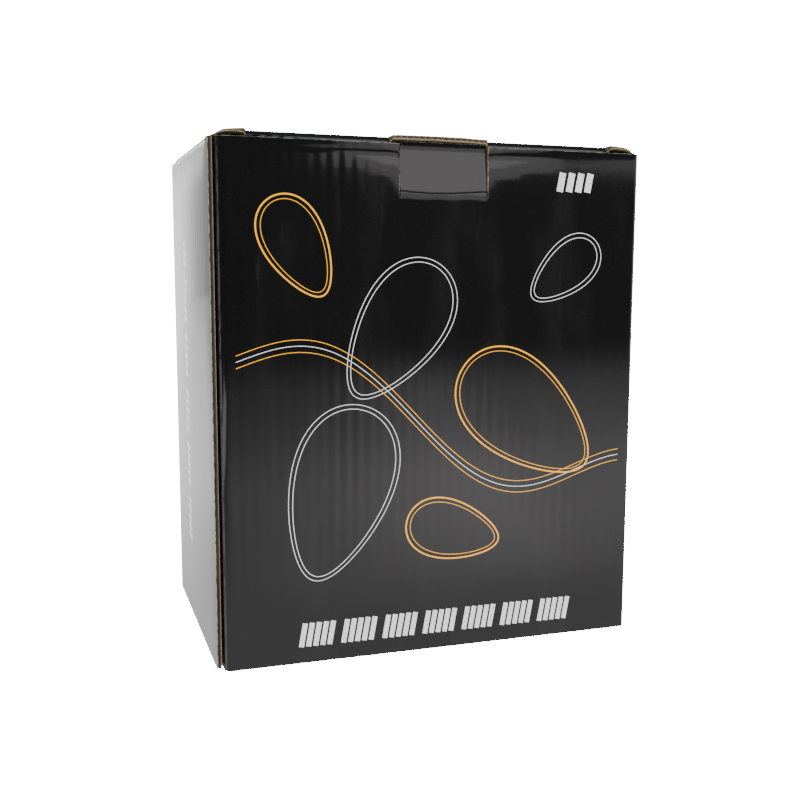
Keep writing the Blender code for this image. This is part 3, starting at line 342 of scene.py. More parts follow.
def webbing(name: str, width: float, dark: Colour = (0.0065, 0.0065, 0.0070),
            light: Colour = (0.034, 0.034, 0.037), yarn: float = 0.00115, selvedge: float = 0.0016,
            stripe: Colour | None = None) -> Material:
    """Makes a woven strap: ribs across it, a herringbone of yarns, denser selvedges and a worn sheen.

    Args:
        name: Its name.
        width: The strap's width.
        dark: The colour between the yarns.
        light: The colour of the yarns.
        yarn: The yarns' pitch.
        selvedge: How wide the edges are.
        stripe: The colour of a middle stripe, if it has one.

    Returns:
        The material.
    """
    graph = Graph(name)
    along, across = graph.lengths()
    centre = (across - width / 2).size()
    ribs = (along + (across.wave(yarn * 6) - 0.5) * yarn).wave(yarn)
    weave = ribs * 0.65 + across.wave(yarn * 0.82) * ribs * 0.35
    edge = centre.rise(width / 2 - selvedge, width / 2 - selvedge * 0.7)
    fuzz = graph.grain(3200, 2, (1, 2, 3)).rise(0.35, 0.80)
    wear = graph.grain(90, 3, (4, 7, 1)).rise(0.45, 0.75)
    tint = graph.mix(weave * 0.55 + fuzz * 0.25 + wear * 0.12, dark, light)
    if stripe:
        half = width * 0.08
        band = 1.0 - centre.rise(half, half + 0.0004)
        tint = graph.mix(band * (weave * 0.5 + 0.5), tint, stripe)
    height = weave * (1.0 - edge * 0.5) + fuzz * 0.15 + edge * 0.4
    graph.feed(base_color=tint, roughness=0.62 + wear * 0.12, normal=graph.relief(height, 0.00022),
               sheen_weight=0.25, sheen_roughness=0.4)
    return graph.material


def plastic(name: str, colour: Colour, rubbed: Colour, roughness: float) -> Material:
    """Makes moulded plastic with a fine spark-eroded grain and rubbed places."""
    return grained(name, colour, rubbed, roughness, Grain(5200, 2, (2, 6, 4), depth=0.00004, raw=True),
                   Grain(160, 4, (3, 3, 3), 0.50, 0.74, 0.45, 0.15), Grain(45, 2, (6, 1, 3), shade=0.15))


def steel(name: str, grey: Colour, roughness: float, stretch: Colour = (1.0, 0.04, 1.0),
          lines: float = 0.00002) -> Material:
    """Makes plated or brushed steel, with fine draw lines along one axis and rub marks."""
    dull = tuple(part * 0.62 for part in grey)
    return grained(name, grey, dull, roughness, Grain(210, 4, (7, 2, 5), 0.52, 0.72, 0.5, 0.18),
                   Grain(3400, 3, (1, 9, 2), 0.35, 0.7, 0.25, 0.06, lines, stretch, True), metal=1.0)


def pad_cover() -> Material:
    """Makes the pad's cover: a fine basket weave over a soft filling."""
    graph = Graph("pad_cover_weave")
    x, y, z = graph.places()
    thread = 0.00085
    weave = (x + y * 0.7).wave(thread) * 0.5 + z.wave(thread) * 0.5
    fuzz = graph.grain(2800, 2, (4, 4, 1)).rise(0.3, 0.8)
    tint = graph.mix(weave * 0.6 + fuzz * 0.3, (0.008, 0.008, 0.0085), (0.040, 0.040, 0.044))
    graph.feed(base_color=tint, roughness=0.78, normal=graph.relief(weave + fuzz * 0.2, 0.00018),
               sheen_weight=0.3)
    return graph.material


def paper() -> Material:
    """Makes uncoated paper with a faint tooth, and leaf lines where the block of leaves is cut."""
    graph = Graph("booklet_leaves")
    side = 1.0 - graph.facing()[1].size().rise(0.5, 0.7)
    leaves = graph.places()[1].wave(0.00022) * side
    tooth = graph.grain(1500, 3, (2, 2, 2))
    tint = graph.mix(leaves * 0.8 + tooth.rise(0.4, 0.8) * 0.12, (0.78, 0.77, 0.73), (0.55, 0.54, 0.50))
    graph.feed(base_color=tint, roughness=0.62, normal=graph.relief(tooth * 0.3 + leaves, 0.00006))
    return graph.material


def dress(node: str, finish: Material) -> None:
    """Gives its finish to a piece that keeps its solid."""
    materials = bpy.data.objects[node].data.materials
    materials.clear()
    materials.append(finish)
    LOG.info("%s: dressed", node)


class MeshDraft:
    """Gathers points and faces, each face with a finish, and makes one object of them."""

    def __init__(self, name: str, finishes: Sequence[Material]) -> None:
        """Starts an empty mesh with its materials in order."""
        self.name = name
        self.finishes = list(finishes)
        self.points: list[Vector] = []
        self.faces: list[tuple[int, ...]] = []
        self.kinds: list[int] = []
        self.runs: list[tuple[Pair, ...]] = []

    def add_points(self, rows: Rows) -> list[list[int]]:
        """Adds rows of points and returns their numbers."""
        numbers = []
        for row in rows:
            start = len(self.points)
            self.points.extend(row)
            numbers.append(list(range(start, start + len(row))))
        return numbers

    def add_face(self, corners: Sequence[int], kind: int, run: Sequence[Pair] = ()) -> None:
        """Adds a face of a kind of finish, with its place along and across a strap if it has one."""
        self.faces.append(tuple(corners))
        self.kinds.append(kind)
        self.runs.append(tuple(run) or ((0.0, 0.0),) * len(corners))

    def add_shell(self, outer: Rows, inner: Rows, kinds: tuple[int, int, int],
                  worn: tuple[bool, bool] = (False, False)) -> None:
        """Adds a closed thin body between two grids of points.

        Args:
            outer: Columns of points on the outer side.
            inner: The same columns on the inner side.
            kinds: The finishes of the outer side, the inner side and the rim.
            worn: Whether the first and the last row of the outer side have the rim's finish.
        """
        front, back = self.add_points(outer), self.add_points(inner)
        columns, rows = len(outer), len(outer[0])
        for c in range(columns - 1):
            for r in range(rows - 1):
                rim = (worn[0] and r == 0) or (worn[1] and r == rows - 2)
                kind = kinds[2] if rim else kinds[0]
                self.add_face((front[c][r], front[c + 1][r], front[c + 1][r + 1], front[c][r + 1]), kind)
                self.add_face((back[c][r + 1], back[c + 1][r + 1], back[c + 1][r], back[c][r]), kinds[1])
            self.add_face((front[c + 1][0], front[c][0], back[c][0], back[c + 1][0]), kinds[2])
            self.add_face((front[c][-1], front[c + 1][-1], back[c + 1][-1], back[c][-1]), kinds[2])
        for r in range(rows - 1):
            self.add_face((front[0][r], front[0][r + 1], back[0][r + 1], back[0][r]), kinds[2])
            self.add_face((front[-1][r + 1], front[-1][r], back[-1][r], back[-1][r + 1]), kinds[2])

    def sweep(self, rings: Rows, closed: bool, kind: int = 0, runs: Seams | None = None) -> None:
        """Adds a body of rings of points joined in order, with its ends capped unless it is closed.

        Args:
            rings: Rings with equally many points.
            closed: Whether the last ring joins the first.
            kind: The finish.
            runs: Each point's place along and across the strap.
        """
        numbers = self.add_points(rings)
        sides, count = len(rings[0]), len(rings)
        for i in range(count if closed else count - 1):
            here, there = numbers[i], numbers[(i + 1) % count]
            for k in range(sides):
                n = (k + 1) % sides
                run = ()
                if runs:
                    run = (runs[i][k], runs[i][n], runs[i + 1][n], runs[i + 1][k])
                self.add_face((here[k], here[n], there[n], there[k]), kind, run)
        if not closed:
            self.add_face(numbers[0][::-1], kind, runs[0][::-1] if runs else ())
            self.add_face(numbers[-1], kind, runs[-1] if runs else ())

    def make(self, body: str | None, slot: Slot, replaced: Sequence[str] = (),
             sharp: float = 40.0) -> bpy.types.Object:
        """Makes the object, on a body if it is given one.

        Args:
            body: The body that carries it, or none to leave it on no body.
            slot: Not used.
            replaced: The solids that it stands for.
            sharp: The angle in degrees past which an edge is sharp.

        Returns:
            The object.
        """
        mesh = bpy.data.meshes.new(self.name)
        mesh.from_pydata(self.points, [], self.faces)
        for material in self.finishes:
            mesh.materials.append(material)
        mesh.polygons.foreach_set("material_index", self.kinds)
        flat = [value for run in self.runs for corner in run for value in corner]
        mesh.uv_layers.new(name="run").data.foreach_set("uv", flat)
        shape = bmesh.new()
        shape.from_mesh(mesh)
        bmesh.ops.remove_doubles(shape, verts=shape.verts, dist=1e-7)
        bmesh.ops.dissolve_degenerate(shape, edges=shape.edges, dist=1e-7)
        bmesh.ops.recalc_face_normals(shape, faces=shape.faces)
        shape.to_mesh(mesh)
        shape.free()
        mesh.shade_smooth()
        mesh.set_sharp_from_angle(angle=math.radians(sharp))
        piece = bpy.data.objects.new(self.name, mesh)
        bpy.context.scene.collection.objects.link(piece)
        if body:
            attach(piece, body)
        if replaced:
            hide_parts(*replaced)
        LOG.info("%s: %d faces on %s", self.name, len(mesh.polygons), body or "two bodies")
        return piece


class BentLine:
    """A line of straight runs and round bends in a plane, measured by the length along it."""

    def __init__(self, corners: Corners, closed: bool = False) -> None:
        """Lays the line through corners, each (x, y) or (x, y, bend radius)."""
        self.pieces: list[tuple[Vector, Vector, float, float, float]] = []
        self.closed = closed
        count = len(corners)
        ends: list[tuple[Vector, Vector, float, float]] = []
        for index, corner in enumerate(corners):
            here = Vector(corner[:2])
            radius = corner[2] if len(corner) > 2 else 0.0
            if radius == 0.0 or (not closed and index in (0, count - 1)):
                ends.append((here, here, 0.0, 0.0))
                continue
            back = (Vector(corners[index - 1][:2]) - here).normalized()
            ahead = (Vector(corners[(index + 1) % count][:2]) - here).normalized()
            opening = back.angle(ahead)
            tangent = radius / math.tan(opening / 2)
            turn = math.copysign(math.pi - opening, -back.cross(ahead))
            ends.append((here + back * tangent, here + ahead * tangent, radius, turn))
        self.length = 0.0
        for index, (start, end, radius, turn) in enumerate(ends):
            if index:
                self.extend(ends[index - 1][1], start)
            if radius:
                way = Matrix.Rotation(-turn / 2, 2) @ (end - start).normalized()
                self.pieces.append((start, way, turn, self.length, radius * abs(turn)))
                self.length += radius * abs(turn)
        if closed:
            self.extend(ends[-1][1], ends[0][0])

    def extend(self, start: Vector, end: Vector) -> None:
        """Adds a straight run, where there is room for one."""
        way = end - start
        if way.length > 1e-9:
            self.pieces.append((start, way.normalized(), 0.0, self.length, way.length))
            self.length += way.length

    def at(self, place: float) -> tuple[Vector, Vector]:
        """The point at a length along the line, and the line's direction there."""
        found = (piece for piece in self.pieces if place <= piece[3] + piece[4])
        start, way, turn, begin, length = next(found, self.pieces[-1])
        part = place - begin
        if not turn:
            return start + way * part, way
        radius = length / abs(turn)
        angle = turn * part / length
        side = Vector((-way.y, way.x)) * math.copysign(1.0, turn)
        rotation = Matrix.Rotation(angle, 2)
        return start + side * radius + rotation @ (-side * radius), rotation @ way

    def stations(self, straight: float, bend: float = 0.2) -> list[float]:
        """Lengths along the line to sample at, by a straight step in metres and a bend's step in radians."""
        found = []
        for _, _, turn, begin, length in self.pieces:
            steps = max(2, round(abs(turn) / bend)) if turn else max(1, round(length / straight))
            found += [begin + length * k / steps for k in range(steps)]
        return found if self.closed else found + [self.length]


def evenly(start: float, end: float, count: int) -> list[float]:
    """Values from start to end in some even steps."""
    return [start + (end - start) * k / count for k in range(count + 1)]


def circle(count: int) -> list[Pair]:
    """Points round a circle of radius 1."""
    return [(math.cos(math.tau * k / count), math.sin(math.tau * k / count)) for k in range(count)]


def oblong(left: float, right: float, low: float, high: float, bend: float) -> Corners:
    """Corners of an oblong with round bends."""
    return [(left, low, bend), (right, low, bend), (right, high, bend), (left, high, bend)]


def ramp(value: float, low: float, high: float) -> float:
    """A smooth step from 0 at one value to 1 at another."""
    part = min(1.0, max(0.0, (value - low) / (high - low)))
    return part * part * (3 - 2 * part)


def stops(start: float, end: float, step: float, breaks: Sequence[float] = (),
          edge: float = 0.00008) -> list[float]:
    """Even places from start to end, with a close pair at each break."""
    found = evenly(start, end, max(1, round((end - start) / step)))
    for place in breaks:
        if start < place < end:
            found = [f for f in found if abs(f - place) > edge * 4]
            found += [place - edge, place + edge]
    return sorted(found)


def corner_loss(from_side: float, radius: float) -> float:
    """How much a rounded corner takes off the length at a distance from the side."""
    inset = min(radius, max(0.0, radius - from_side))
    return radius - math.sqrt(max(0.0, radius ** 2 - inset ** 2))


def roughly(*values: float, seed: float = 0.0) -> float:
    """Smooth noise from about -1 to 1 at a place."""
    x, y, z = (*values, 0.0, 0.0)[:3]
    return noise.noise(Vector((x + seed, y - seed, z + seed * 0.5)))


@dataclass(frozen=True)
class Board:
    """Fluted board: two liners, the outer one printed, with a waved sheet between them."""

    thickness: float = 0.003
    outer_liner: float = 0.00045
    inner_liner: float = 0.00030
    medium: float = 0.00024
    pitch: float = 0.0062
    ridge: float = 0.000024
    column_step: float = 0.00103
    medium_step: float = 0.00062

    def ridges(self, across: float) -> float:
        """How far the liner sinks between the flutes at a place across them, which varies a little."""
        deep = 0.75 + 0.9 * roughly(across * 46, seed=2.2)
        return self.ridge * deep * (1 - math.cos(2 * math.pi * across / self.pitch))

    def add(self, draft: MeshDraft, span: Pair, breaks: Sequence[float], skin: Limits, core: Limits,
            place: Place, rows: int, worn: Pair = (0.0, 0.0),
            spared: Callable[[float], bool] = lambda s: False, close: Sequence[float] = (),
            plug: float = 0.0) -> None:
        """Adds the board's three sheets to a draft whose finishes are print, kraft, cut edge and kraft
        darkened as painted shade inside the flutes.

        Args:
            draft: The mesh to add to.
            span: The first and last place across the flutes.
            breaks: Places across where its outline jumps.
            skin: The outer liner's start and end along the flutes, at a place across them.
            core: The same for the other two sheets.
            place: Gives the point at a place across, a place along and a depth under the print.
            rows: How many steps the print has along the flutes.
            worn: How far the print is worn off at its start and end.
            spared: Whether a place across has no such wear.
            close: Further steps along the flutes, by how far they are from the end.
            plug: How deep under the end crushed fibres fill the flutes, or 0 where they are open.
        """
        def sheet(step: float, limits: Limits, outer: Depth, inner: Depth, count: int,
                  kinds: tuple[int, int, int], rims: Pair = (0.0, 0.0)) -> None:
            grids: tuple[list[list[Vector]], list[list[Vector]]] = ([], [])
            nearby = close if rims[1] else close[::2]
            for across in stops(*span, step, breaks):
                low, high = limits(across)
                fray = 0.06 if spared(across) else 1.0
                way = math.copysign(1.0, high - low)
                start, end = low + way * rims[0] * fray, high - way * rims[1] * fray
                last = end - (nearby[0] if close else 0.0)
                places = evenly(start, last, count)
                if close:
                    places += [end - gap for gap in nearby[1:]] + [end]
                places = [low] * bool(rims[0]) + places + [high] * bool(rims[1])
                for grid, depth in zip(grids, (outer, inner)):
                    grid.append([place(across, along, depth(across)) for along in places])
            draft.add_shell(*grids, kinds, (rims[0] > 0, rims[1] > 0))

        def wave(side: float) -> Depth:
            return lambda s: middle + swing * math.cos(2 * math.pi * s / self.pitch) + side * self.medium / 2

        def fibres(across: float) -> Pair:
            start, end = core(across)
            way = math.copysign(1.0, end - start)
            hollow = 0.5 - 0.5 * math.cos(4 * math.pi * across / self.pitch)
            fray = 0.5 + 2 * hollow + 0.6 * roughly(across * 900, seed=4.4)
            return end - way * self.thickness, end - way * plug * fray

        outer, inner = self.outer_liner, self.thickness - self.inner_liner
        middle, swing = (outer + inner) / 2, (inner - outer - self.medium) / 2
        fewer = max(3, rows // 3)
        sheet(self.column_step, skin, self.ridges, lambda s: outer, rows, (0, 1, 2), worn)
        sheet(self.column_step, core, lambda s: inner, lambda s: self.thickness, fewer, (1, 1, 1))
        # the waved medium and the crushed fibres take the fourth finish, kraft darkened as painted shade
        # inside the flutes
        sheet(self.medium_step, core, wave(-1), wave(1), fewer, (3, 3, 3))
        if plug:
            sheet(0.0003, fibres, lambda s: outer + 0.00001, lambda s: inner - 0.00001, 1, (3, 3, 3))


BOARD = Board()
KNUCKLE = 0.0026
RAW_WEAR = (0.0, 0.00025)


def on_bend(centre: Vector, along: Vector, across: Vector, run: float, angle: float,
            radius: float) -> Vector:
    """The point at a place along a crease, an angle round it and a distance from its axis."""
    rise = Vector((0, 0, radius * math.sin(angle)))
    return centre + along * run + across * (radius * math.cos(angle)) + rise


def roll(draft: MeshDraft, centre: Vector, along: Vector, across: Vector, ends: Pair,
         turns: range = range(-90, 91, 15)) -> None:
    """Adds the rolled inner edge of a board at its crease, over a range of degrees."""
    draft.sweep([[on_bend(centre, along, across, run, math.radians(turn), KNUCKLE) for turn in turns]
                 for run in stops(*ends, 0.02)], False, 1)


def ragged(place: float, seed: float) -> float:
    """How far a cut end stands back at a place along it, from 0 to 0.2 mm."""
    return 0.0001 * roughly(place * 600, seed=seed) - 0.0001


def within(place: float, spans: Sequence[Pair]) -> bool:
    """Whether a place is inside one of some spans."""
    return any(low < place < high for low, high in spans)


@dataclass(frozen=True)
class CartonFinishes:
    """The carton's finishes: print, raw board, cut edge, flutes in kraft darkened as painted shade, rubbed
    edge and two inks.
    """

    print: Material
    kraft: Material
    cut: Material
    # painted shade: the waved medium's kraft is darker to stand for the shade inside the flutes
    flute: Material
    arris: Material
    orange: Material
    pale: Material

    @property
    def board(self) -> list[Material]:
        """What a board's sheets are dressed in, in a draft's order."""
        return [self.print, self.kraft, self.cut, self.flute]


@dataclass
class CartonWalls:
    """The carton's four panels in one band, with its glue flap stuck inside the left panel."""

    finishes: CartonFinishes
    half_width: float = 0.111
    half_depth: float = 0.0775
    height: float = 0.255
    fold_radius: float = 0.0033
    left_setback: float = 0.004
    glue_flap_x: float = -0.1077
    glue_flap_end: float = -0.0455
    glue_flap_z: Pair = (0.012, 0.243)
    front_fold: float = 0.0016
    glue_step: float = 0.0018
    window: Pair = (-0.0196, 0.0265)
    pressed_sides: tuple[Pair, Pair] = ((-0.0206, -0.0188), (0.0255, 0.0275))
    window_foot: float = 0.2300
    press_start: float = 0.2280
    press_end: float = 0.2321
    press_slope: float = 0.1075
    curl_start: float = 0.2515
    lean_start: float = 0.2395
    lean_rise: float = 0.0065
    lean_slope: float = 0.08
    lean_back: Pair = (0.2505, 34)
    lean_sides: Pair = (0.020, 0.045)
    dust_run: Pair = (-0.0668, 0.0688)
    dust_tops: Pair = (0.2505, 0.2487)
    hinge_y: float = 0.0745
    hinge_z: float = 0.2553
    hinge_reach: float = 0.0036
    bow: float = 0.00040
    bow_fade: Pair = (0.2500, 0.2535)
    bulge: float = 0.00080
    crush: float = 0.00025
    crush_reach: float = 0.016
    bulge_foot: Pair = (0.0, 0.06)
    bulge_top: Pair = (0.23, 0.25)
    steps_to_top: tuple[float, ...] = (0.0160, 0.0125, 0.0095, 0.0066, 0.0045, 0.0036, 0.0029, 0.0023,
                                       0.0017, 0.0011, 0.0006)
    path: BentLine = field(init=False)

    def __post_init__(self) -> None:
        """Lays the line of the outer face, from the left panel's front edge round to the glue flap's end."""
        fold = self.fold_radius
        self.path = BentLine([
            (-self.half_width, -self.half_depth + self.left_setback),
            (-self.half_width, self.half_depth, fold), (self.half_width, self.half_depth, fold),
            (self.half_width, -self.half_depth, self.front_fold), (self.glue_flap_x, -self.half_depth, fold),
            (self.glue_flap_x, self.glue_flap_end),
        ])

    def sway(self, s: float, z: float) -> float:
        """How far the board has bowed inward at a place, nothing at the folds and at its foot."""
        for index, (_, _, turn, begin, length) in enumerate(self.path.pieces):
            if begin <= s <= begin + length:
                if turn:
                    return 0.0
                share = (s - begin) / length
                if index == 0:
                    swell = -self.bulge * math.sin(math.pi * share)
                    return swell * ramp(z, *self.bulge_foot) * (1 - ramp(z, *self.bulge_top))
                edge = min(1.0, 5 * share, 5 * (1 - share)) * min(1.0, 9 * z / self.height)
                edge *= 1 - ramp(z, *self.bow_fade)
                return edge * self.bow * (0.5 + roughly(s * 7, z * 6, seed=3.7))
        return 0.0

    def pressed(self, x: float, z: float) -> float:
        """How far the front panel is pressed in under and beside the tab, or curls out at its top."""
        left, right = self.pressed_sides
        inside = ramp(x, *left) * (1 - ramp(x, *right))
        aside = max(self.window[0] - x, x - self.window[1], 0.0)
        if z > self.window_foot + 0.0001 and aside:
            inside = 0.0
        bend = max(0.0, min(z, self.press_end) - self.press_start - 0.0008 * roughly(x * 110, seed=6.6))
        under = 12.5 * bend ** 2 + self.press_slope * max(0.0, z - self.press_end)
        curl = 0.0 if inside else 9.8 * max(0.0, z - self.curl_start) ** 2
        start = self.lean_start + self.lean_rise * min(1.0, aside / 0.024)
        start += 0.0006 * roughly(x * 90, seed=1.5)
        above = min(max(0.0, z - start), 0.0110)
        leaning = 0.0
        if above:
            level, strength = self.lean_back
            leaning = self.lean_slope * above ** 2 / (above + 0.001) - strength * max(0.0, z - level) ** 2
        return inside * under + leaning * (1 - ramp(aside, *self.lean_sides)) * (1 - inside) - curl

    def place(self, s: float, z: float, depth: float) -> Vector:
        """The point at a place along the band, a height and a depth under the print."""
        point, way = self.path.at(s)
        near = max(0.0, 1 - s / self.crush_reach) ** 2
        if s < self.path.pieces[0][4] and depth < BOARD.ridge * 4:
            depth *= 0.3
        depth = depth * (1 - 0.30 * near) + self.sway(s, z) + near * self.crush
        if z > 0.2275 and way.x < -0.99:
            depth += self.pressed(point.x, z)
        return Vector((point.x + way.y * depth, point.y - way.x * depth, z))

    def folded(self, s: float) -> bool:
        """Whether the board goes on over a crease at a place along its top."""
        return self.top(s, True) < self.height - 0.0008

    def front(self, x: float, z: float, lift: float) -> Vector:
        """The point on the front panel's print at a place, lifted off it."""
        start, _, _, begin, _ = self.path.pieces[6]
        s = begin + start.x - x
        return self.place(s, z, BOARD.ridges(s) - lift)

    def left(self, y: float, z: float, lift: float) -> Vector:
        """The point on the left panel's print at a place, lifted off it."""
        s = y - self.path.pieces[0][0].y
        return self.place(s, z, BOARD.ridges(s) - lift)

    def top(self, s: float, printed: bool) -> float:
        """How high the print, or the sheets under it, reach at a place along the band."""
        point, way = self.path.at(s)
        rag = 0.00012 * roughly(s * 800, seed=1.0)
        if s > self.path.pieces[8][3] + self.glue_step:
            return self.glue_flap_z[1] + rag
        if point.y < -self.half_depth + 0.001 and within(point.x, [self.window]):
            return self.window_foot - (0.0 if printed else 0.0003)
        if within(point.y, [self.dust_run]):
            return self.dust_tops[0 if printed else 1]
        if point.y > self.hinge_y - self.hinge_reach:
            if way.x > 0.9 and not printed:
                return self.hinge_z - self.hinge_reach
            drop = math.sqrt(max(0.0, self.hinge_reach ** 2 - (point.y - self.hinge_y) ** 2))
            return min(self.height, self.hinge_z - drop)
        return self.height + rag - 0.0001

    def foot(self, s: float) -> float:
        """Where the board starts at a place along the band."""
        if s > self.path.pieces[8][3] + self.glue_step:
            return self.glue_flap_z[0]
        return 0.0001 + 0.0001 * roughly(s * 700, seed=5.0)

    def build(self) -> None:
        """Makes the walls."""
        draft = MeshDraft("carton_walls_board", self.finishes.board)
        draft.finishes[2] = self.finishes.arris
        left, right, front, glued = (self.path.pieces[index] for index in (0, 4, 6, 8))
        along = (*self.dust_run, self.hinge_y - self.hinge_reach)
        breaks = [y - left[0].y for y in along] + [right[3] + right[0].y - y for y in along]
        breaks += [front[3] + front[0].x - x for x in self.window] + [glued[3] + self.glue_step]
        BOARD.add(draft, (0.0, self.path.length), breaks, lambda s: (self.foot(s), self.top(s, True)),
                  lambda s: (self.foot(s), self.top(s, False)), self.place, 15, (0.0, 0.00014), self.folded,
                  self.steps_to_top)
        draft.make("root", Slot.BOARD, ["carton_walls"])


@dataclass
class Lid:
    """The lid panel: raw edges forward at both ends and over the tab, and rounded under at its creases."""

    finishes: CartonFinishes
    half_width: float = 0.109
    top: float = 0.2583
    back: float = 0.0745
    front: float = -0.0770
    crease_front: float = -0.0699
    groove_front: float = -0.0678
    crease_end: float = 0.1050
    creases: tuple[Pair, Pair] = ((-0.0935, -0.0240), (0.0266, 0.0935))
    sag: float = 0.00018
    crush: float = 0.36
    crushed: Pair = (0.0655, 0.0755)
    sloped: float = 0.1035
    stub: Pair = (0.094, 0.099)
    proud: float = 0.0008
    taper: float = 0.0024

    def raised(self, x: float) -> float:
        """How far a raw stub of the front edge stands up at a place across."""
        if abs(x) > 0.09:
            return self.proud * (0.55 - 1.4 * ramp(abs(x), self.stub[0], self.half_width))
        start, end = self.creases[0][1], self.creases[1][0]
        swell = 0.75 + 0.35 * math.sin((x - start) / (end - start) * math.pi)
        return self.proud * swell * (1 - 0.4 * ramp(x, 0.01, end))

    def place(self, x: float, y: float, depth: float) -> Vector:
        """The point at a place on the lid and a depth under its print."""
        rim = min(1.0, (self.half_width - abs(x)) * 25, (self.back - y) * 25, (y - self.front) * 25)
        sink = max(0.0, rim) * self.sag * (0.5 + 0.5 * roughly(x * 8, y * 8, seed=8.2))
        clear = min(max(start - x, x - stop) for start, stop in self.creases)
        front = ramp(-y, *self.crushed) * ramp(clear, -0.0002, 0.0012)
        side = ramp(abs(x), self.sloped, self.half_width)
        uneven = 1 + 0.7 * ramp(abs(x), *self.stub) + 0.3 * roughly(x * 130, y * 90, seed=5.5)
        thick = BOARD.thickness * (1 - self.crush * front * uneven) * (1 - 0.82 * side)
        top = self.top + front * self.raised(x) - side * self.taper - sink
        liners = BOARD.outer_liner + BOARD.inner_liner
        inner = BOARD.thickness - BOARD.inner_liner
        if thick < liners * 1.2:
            down = depth * thick / BOARD.thickness
        elif depth <= BOARD.outer_liner:
            down = depth
        elif depth >= inner:
            down = thick - (BOARD.thickness - depth)
        else:
            share = (depth - BOARD.outer_liner) / (inner - BOARD.outer_liner)
            down = BOARD.outer_liner + share * (thick - liners)
        return Vector((x, y, top - down))

    def end(self, x: float, printed: bool) -> float:
        """Where the print, or the sheets under it, end at the front."""
        if within(x, self.creases):
            return self.crease_front if printed else self.groove_front
        fray = 0.00022 * roughly(x * 620, seed=2.0) + 0.00015 * roughly(x * 90, seed=4.0)
        return self.front + fray + (0.0 if printed else 0.00012)

    def build(self) -> None:
        """Makes the lid and the rolled edge at its back crease."""
        draft = MeshDraft("lid_board", self.finishes.board)
        BOARD.add(draft, (-self.half_width, self.half_width), [*self.creases[0], *self.creases[1]],
                  lambda x: (self.back, self.end(x, True)), lambda x: (self.back, self.end(x, False)),
                  self.place, 30, RAW_WEAR, lambda x: within(x, self.creases), plug=0.00035)
        axis = Vector((0, self.back, self.top - BOARD.thickness))
        roll(draft, axis, X, Y, (-self.crease_end, self.crease_end))
        draft.make("lid", Slot.BOARD, ["lid_panel"])


@dataclass
class TuckFlap:
    """The flap that tucks down behind the front panel, with rounded corners and a slot for the tab."""

    finishes: CartonFinishes
    axis_y: float = -0.0711
    axis_z: float = 0.2553
    lean: float = math.radians(14)
    length: float = 0.030
    sides: Pair = (-0.1037, 0.1070)
    corner: float = 0.012
    slot: Pair = (-0.0234, 0.0264)
    slot_depth: float = 0.012
    creases: tuple[Pair, Pair] = ((-0.0929, -0.0246), (0.0272, 0.0929))

    def place(self, x: float, down: float, depth: float) -> Vector:
        """The point at a place on the flap and a depth under its print."""
        out = BOARD.thickness - depth
        return Vector((x, self.axis_y + down * math.sin(self.lean) - out * math.cos(self.lean),
                       self.axis_z - down * math.cos(self.lean) - out * math.sin(self.lean)))

    def limits(self, x: float) -> Pair:
        """Where the flap starts and ends at a place across it."""
        start = 0.0 if within(x, self.creases) else 0.0006
        if within(x, [self.slot]):
            start = self.slot_depth
        loss = corner_loss(min(x - self.sides[0], self.sides[1] - x), self.corner)
        return start, self.length - loss + ragged(x, 6.0)

    def build(self) -> None:
        """Makes the flap and the rolled edge at its creases."""
        draft = MeshDraft("tuck_flap_board", self.finishes.board)
        breaks = [*self.slot, *self.creases[0], *self.creases[1]]
        BOARD.add(draft, self.sides, breaks, self.limits, self.limits, self.place, 6, RAW_WEAR)
        for crease in self.creases:
            roll(draft, Vector((0, self.axis_y, self.axis_z)), X, Y, crease, range(14, 195, 15))
        draft.make("tuck", Slot.BOARD, ["tuck_flap"])


@dataclass
class DustFlap:
    """A tapered flap on a side panel, under the lid."""

    finishes: CartonFinishes
    name: str
    side: int
    axis_x: float = 0.108
    axis_z: float = 0.252
    length: float = 0.066
    front: float = -0.0665
    back: float = 0.0685
    shoulder: float = 0.020
    chamfer: float = 0.006
    slope: float = 0.75

    @property
    def body(self) -> str:
        """The body that it rides on."""
        return self.name.replace("_flap", "")

    @property
    def axis(self) -> Vector:
        """Where its crease is."""
        return Vector((self.side * self.axis_x, 0, self.axis_z))

    def place(self, y: float, reach: float, depth: float) -> Vector:
        """The point at a place on the flap and a depth under its print."""
        return Vector((self.side * (self.axis_x - reach), y, self.axis_z + BOARD.thickness - depth))

    def limits(self, y: float) -> Pair:
        """How far the flap reaches at a place along its crease."""
        step = self.front + self.chamfer
        if y < step:
            return 0.0, self.shoulder + y - self.front
        tip_back = self.back - self.length * self.slope
        reach = min(self.length, (self.back - y) / self.slope)
        reach -= corner_loss(y - step, self.chamfer)
        if abs(y - tip_back) < self.chamfer / 2:
            reach -= (self.chamfer / 2 - abs(y - tip_back)) * 0.3
        return 0.0, max(0.0004, reach + ragged(y, 7.0))

    def build(self) -> None:
        """Makes the flap and the rolled edge at its crease."""
        draft = MeshDraft(f"{self.name}_board", self.finishes.board)
        BOARD.add(draft, (self.front, self.back - 0.0003), [self.front + self.chamfer], self.limits,
                  self.limits, self.place, 8, RAW_WEAR)
        roll(draft, self.axis, Y, X * self.side, (self.front, self.back))
        draft.make(self.body, Slot.BOARD, [self.name])


